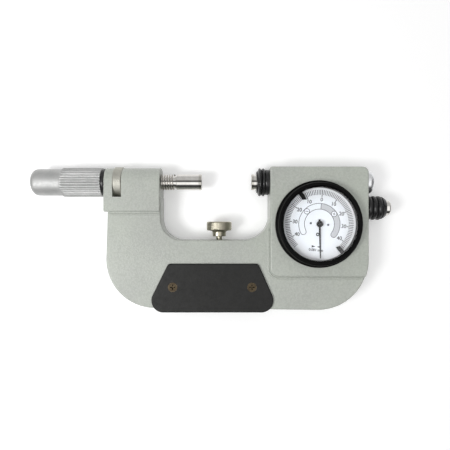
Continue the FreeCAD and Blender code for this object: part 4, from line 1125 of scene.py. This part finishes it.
def bead(name, x, y, heading, path):
    """Rounded bead of paint along the foot of a step, as straight runs and bends from a start."""
    bm = bmesh.new()
    z = web_top - bead_sink
    bmesh.ops.create_circle(bm, cap_ends=False, segments=14, radius=bead_r)
    upright = Matrix.Rotation(math.radians(heading), 3, "Z") @ Matrix.Rotation(math.pi / 2, 3, "Y")
    bmesh.ops.rotate(bm, cent=(0, 0, 0), matrix=upright, verts=bm.verts)
    bmesh.ops.translate(bm, vec=(x, y, z), verts=bm.verts)
    rim = list(bm.edges)
    place = Vector((x, y, z))
    for length, bend_r, bend in path:
        ahead = Vector((math.cos(math.radians(heading)), math.sin(math.radians(heading)), 0))
        grown = bmesh.ops.extrude_edge_only(bm, edges=rim)["geom"]
        verts = [part for part in grown if isinstance(part, bmesh.types.BMVert)]
        edges = [part for part in grown if isinstance(part, bmesh.types.BMEdge)]
        rim = [edge for edge in edges if all(vert in verts for vert in edge.verts)]
        bmesh.ops.translate(bm, vec=ahead * length, verts=verts)
        place += ahead * length
        if bend:
            centre = place + Vector((-ahead.y, ahead.x, 0)) * bend_r
            last = bmesh.ops.spin(
                bm,
                geom=rim + verts,
                cent=centre,
                axis=(0, 0, 1),
                dvec=(0, 0, 0),
                angle=math.radians(bend),
                steps=16,
                use_merge=False,
                use_duplicate=False,
            )["geom_last"]
            rim = [part for part in last if isinstance(part, bmesh.types.BMEdge)]
            place = centre + Matrix.Rotation(math.radians(bend), 3, "Z") @ (place - centre)
            heading += bend
    bmesh.ops.holes_fill(bm, edges=bm.edges, sides=0)
    piece = make_piece(name, bm, paint)
    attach(piece, "frame")


def paint_beads():
    """Beads at the foot of the head and round the foot of the housing."""
    bead("bead_under_head", head_bead_start, -head_depth - head_bead_off, 0, [(head_bead_length, 0, 0)])
    down = housing_depth - housing_corner - housing_bead_top
    corner = housing_corner + housing_bead_off
    bead(
        "bead_round_housing",
        housing_left - housing_bead_off,
        -housing_bead_top,
        -90,
        [(down, corner, 90), (housing_bead_run, 0, 0)],
    )


spindle_core()
spindle_thread()
knurled_nut()
knurled_stop_screw()
fluted_cap()
anvil_boot()
button_boot()
paint_beads()
marker("marker_low_blade", "marker_low", "tolerance_marker_low", marker_low_angle)
marker("marker_high_blade", "marker_high", "tolerance_marker_high", marker_high_angle)
print_scale()
print_numbers()
print_bands()
print_signs()
print_unit()


def table():
    """White table that keeps the shadow; from below it is clear."""
    material = bpy.data.materials.new("white_table")
    material.use_nodes = True
    tree = material.node_tree
    shader = tree.nodes["Principled BSDF"]
    shader.inputs["Base Color"].default_value = table_white
    shader.inputs["Roughness"].default_value = 0.9
    path = add(tree, "ShaderNodeLightPath")
    seen = path.outputs["Is Camera Ray"]
    for ray in ("Is Glossy Ray", "Is Transmission Ray"):
        seen = add(tree, "ShaderNodeMath", {0: seen, 1: path.outputs[ray]}, operation="MAXIMUM").outputs[0]
    glow = add(tree, "ShaderNodeMath", {0: seen, 1: table_glow}, operation="MULTIPLY")
    emission = add(tree, "ShaderNodeEmission", {"Strength": glow.outputs[0]})
    lit = add(tree, "ShaderNodeAddShader")
    tree.links.new(shader.outputs[0], lit.inputs[0])
    tree.links.new(emission.outputs[0], lit.inputs[1])
    geometry = add(tree, "ShaderNodeNewGeometry")
    clear = add(tree, "ShaderNodeBsdfTransparent")
    sided = add(tree, "ShaderNodeMixShader", {0: geometry.outputs["Backfacing"]})
    tree.links.new(lit.outputs[0], sided.inputs[1])
    tree.links.new(clear.outputs[0], sided.inputs[2])
    tree.links.new(sided.outputs[0], tree.nodes["Material Output"].inputs["Surface"])
    bm = bmesh.new()
    bmesh.ops.create_grid(bm, x_segments=1, y_segments=1, size=table_half * MM)
    bmesh.ops.translate(bm, vec=(0, 0, table_z * MM), verts=bm.verts)
    mesh = bpy.data.meshes.new("table")
    bm.to_mesh(mesh)
    bm.free()
    mesh.materials.append(material)
    top = bpy.data.objects.new("table", mesh)
    bpy.context.scene.collection.objects.link(top)


def studio_world():
    """White to the camera; for light a soft box with a dark gap, a pale back wall and a dark front."""
    world = bpy.data.worlds.new("studio")
    world.use_nodes = True
    tree = world.node_tree
    background = tree.nodes["Background"]
    direction = add(tree, "ShaderNodeTexCoord").outputs["Generated"]
    parts = add(tree, "ShaderNodeSeparateXYZ", {0: direction})
    sideways = add(tree, "ShaderNodeMath", {0: parts.outputs[0]}, operation="ABSOLUTE").outputs[0]
    box = remap(tree, sideways, *box_edge, box_level, side_level)
    front = remap(tree, parts.outputs[1], *front_edge, 0.0, 1.0)
    level = add(tree, "ShaderNodeMix", {0: front, 2: front_level, 3: box}, data_type="FLOAT").outputs[0]
    gap_depth = remap(tree, parts.outputs[1], *gap_edge, 0.0, 1.0)
    gap_width = remap(tree, sideways, *gap_side_edge, 1.0, 0.0)
    gap = add(tree, "ShaderNodeMath", {0: gap_depth, 1: gap_width}, operation="MULTIPLY").outputs[0]
    level = add(tree, "ShaderNodeMix", {0: gap, 2: level, 3: gap_level}, data_type="FLOAT").outputs[0]
    back = remap(tree, parts.outputs[1], *back_edge, 0.0, 1.0)
    level = add(tree, "ShaderNodeMix", {0: back, 2: level, 3: wall_level}, data_type="FLOAT")
    camera = add(tree, "ShaderNodeLightPath").outputs["Is Camera Ray"]
    seen = add(tree, "ShaderNodeMix", {0: camera, 2: level.outputs[0], 3: 1.0}, data_type="FLOAT")
    tree.links.new(seen.outputs[0], background.inputs["Strength"])
    background.inputs["Color"].default_value = (1, 1, 1, 1)
    bpy.context.scene.world = world


def soft_lamp(name, place, size, power):
    """Square lamp that faces the gauge."""
    lamp = bpy.data.lights.new(name, "AREA")
    lamp.size = size
    lamp.energy = power
    holder = bpy.data.objects.new(name, lamp)
    bpy.context.scene.collection.objects.link(holder)
    holder.location = place
    aim = Vector((camera_place[0] * MM, camera_place[1] * MM, 0)) - Vector(place)
    holder.rotation_euler = aim.to_track_quat("-Z", "Y").to_euler()


def camera():
    data = bpy.data.cameras.new("camera")
    data.sensor_width = sensor_width
    data.lens = sensor_width * camera_place[2] / photo_width_at_axis
    data.clip_start = 0.01
    data.clip_end = 10
    holder = bpy.data.objects.new("camera", data)
    bpy.context.scene.collection.objects.link(holder)
    holder.location = [c * MM for c in camera_place]
    bpy.context.scene.camera = holder


table()
studio_world()
soft_lamp("key", key_place, key_size, key_power)
camera()
bpy.context.scene.view_settings.view_transform = "Standard"
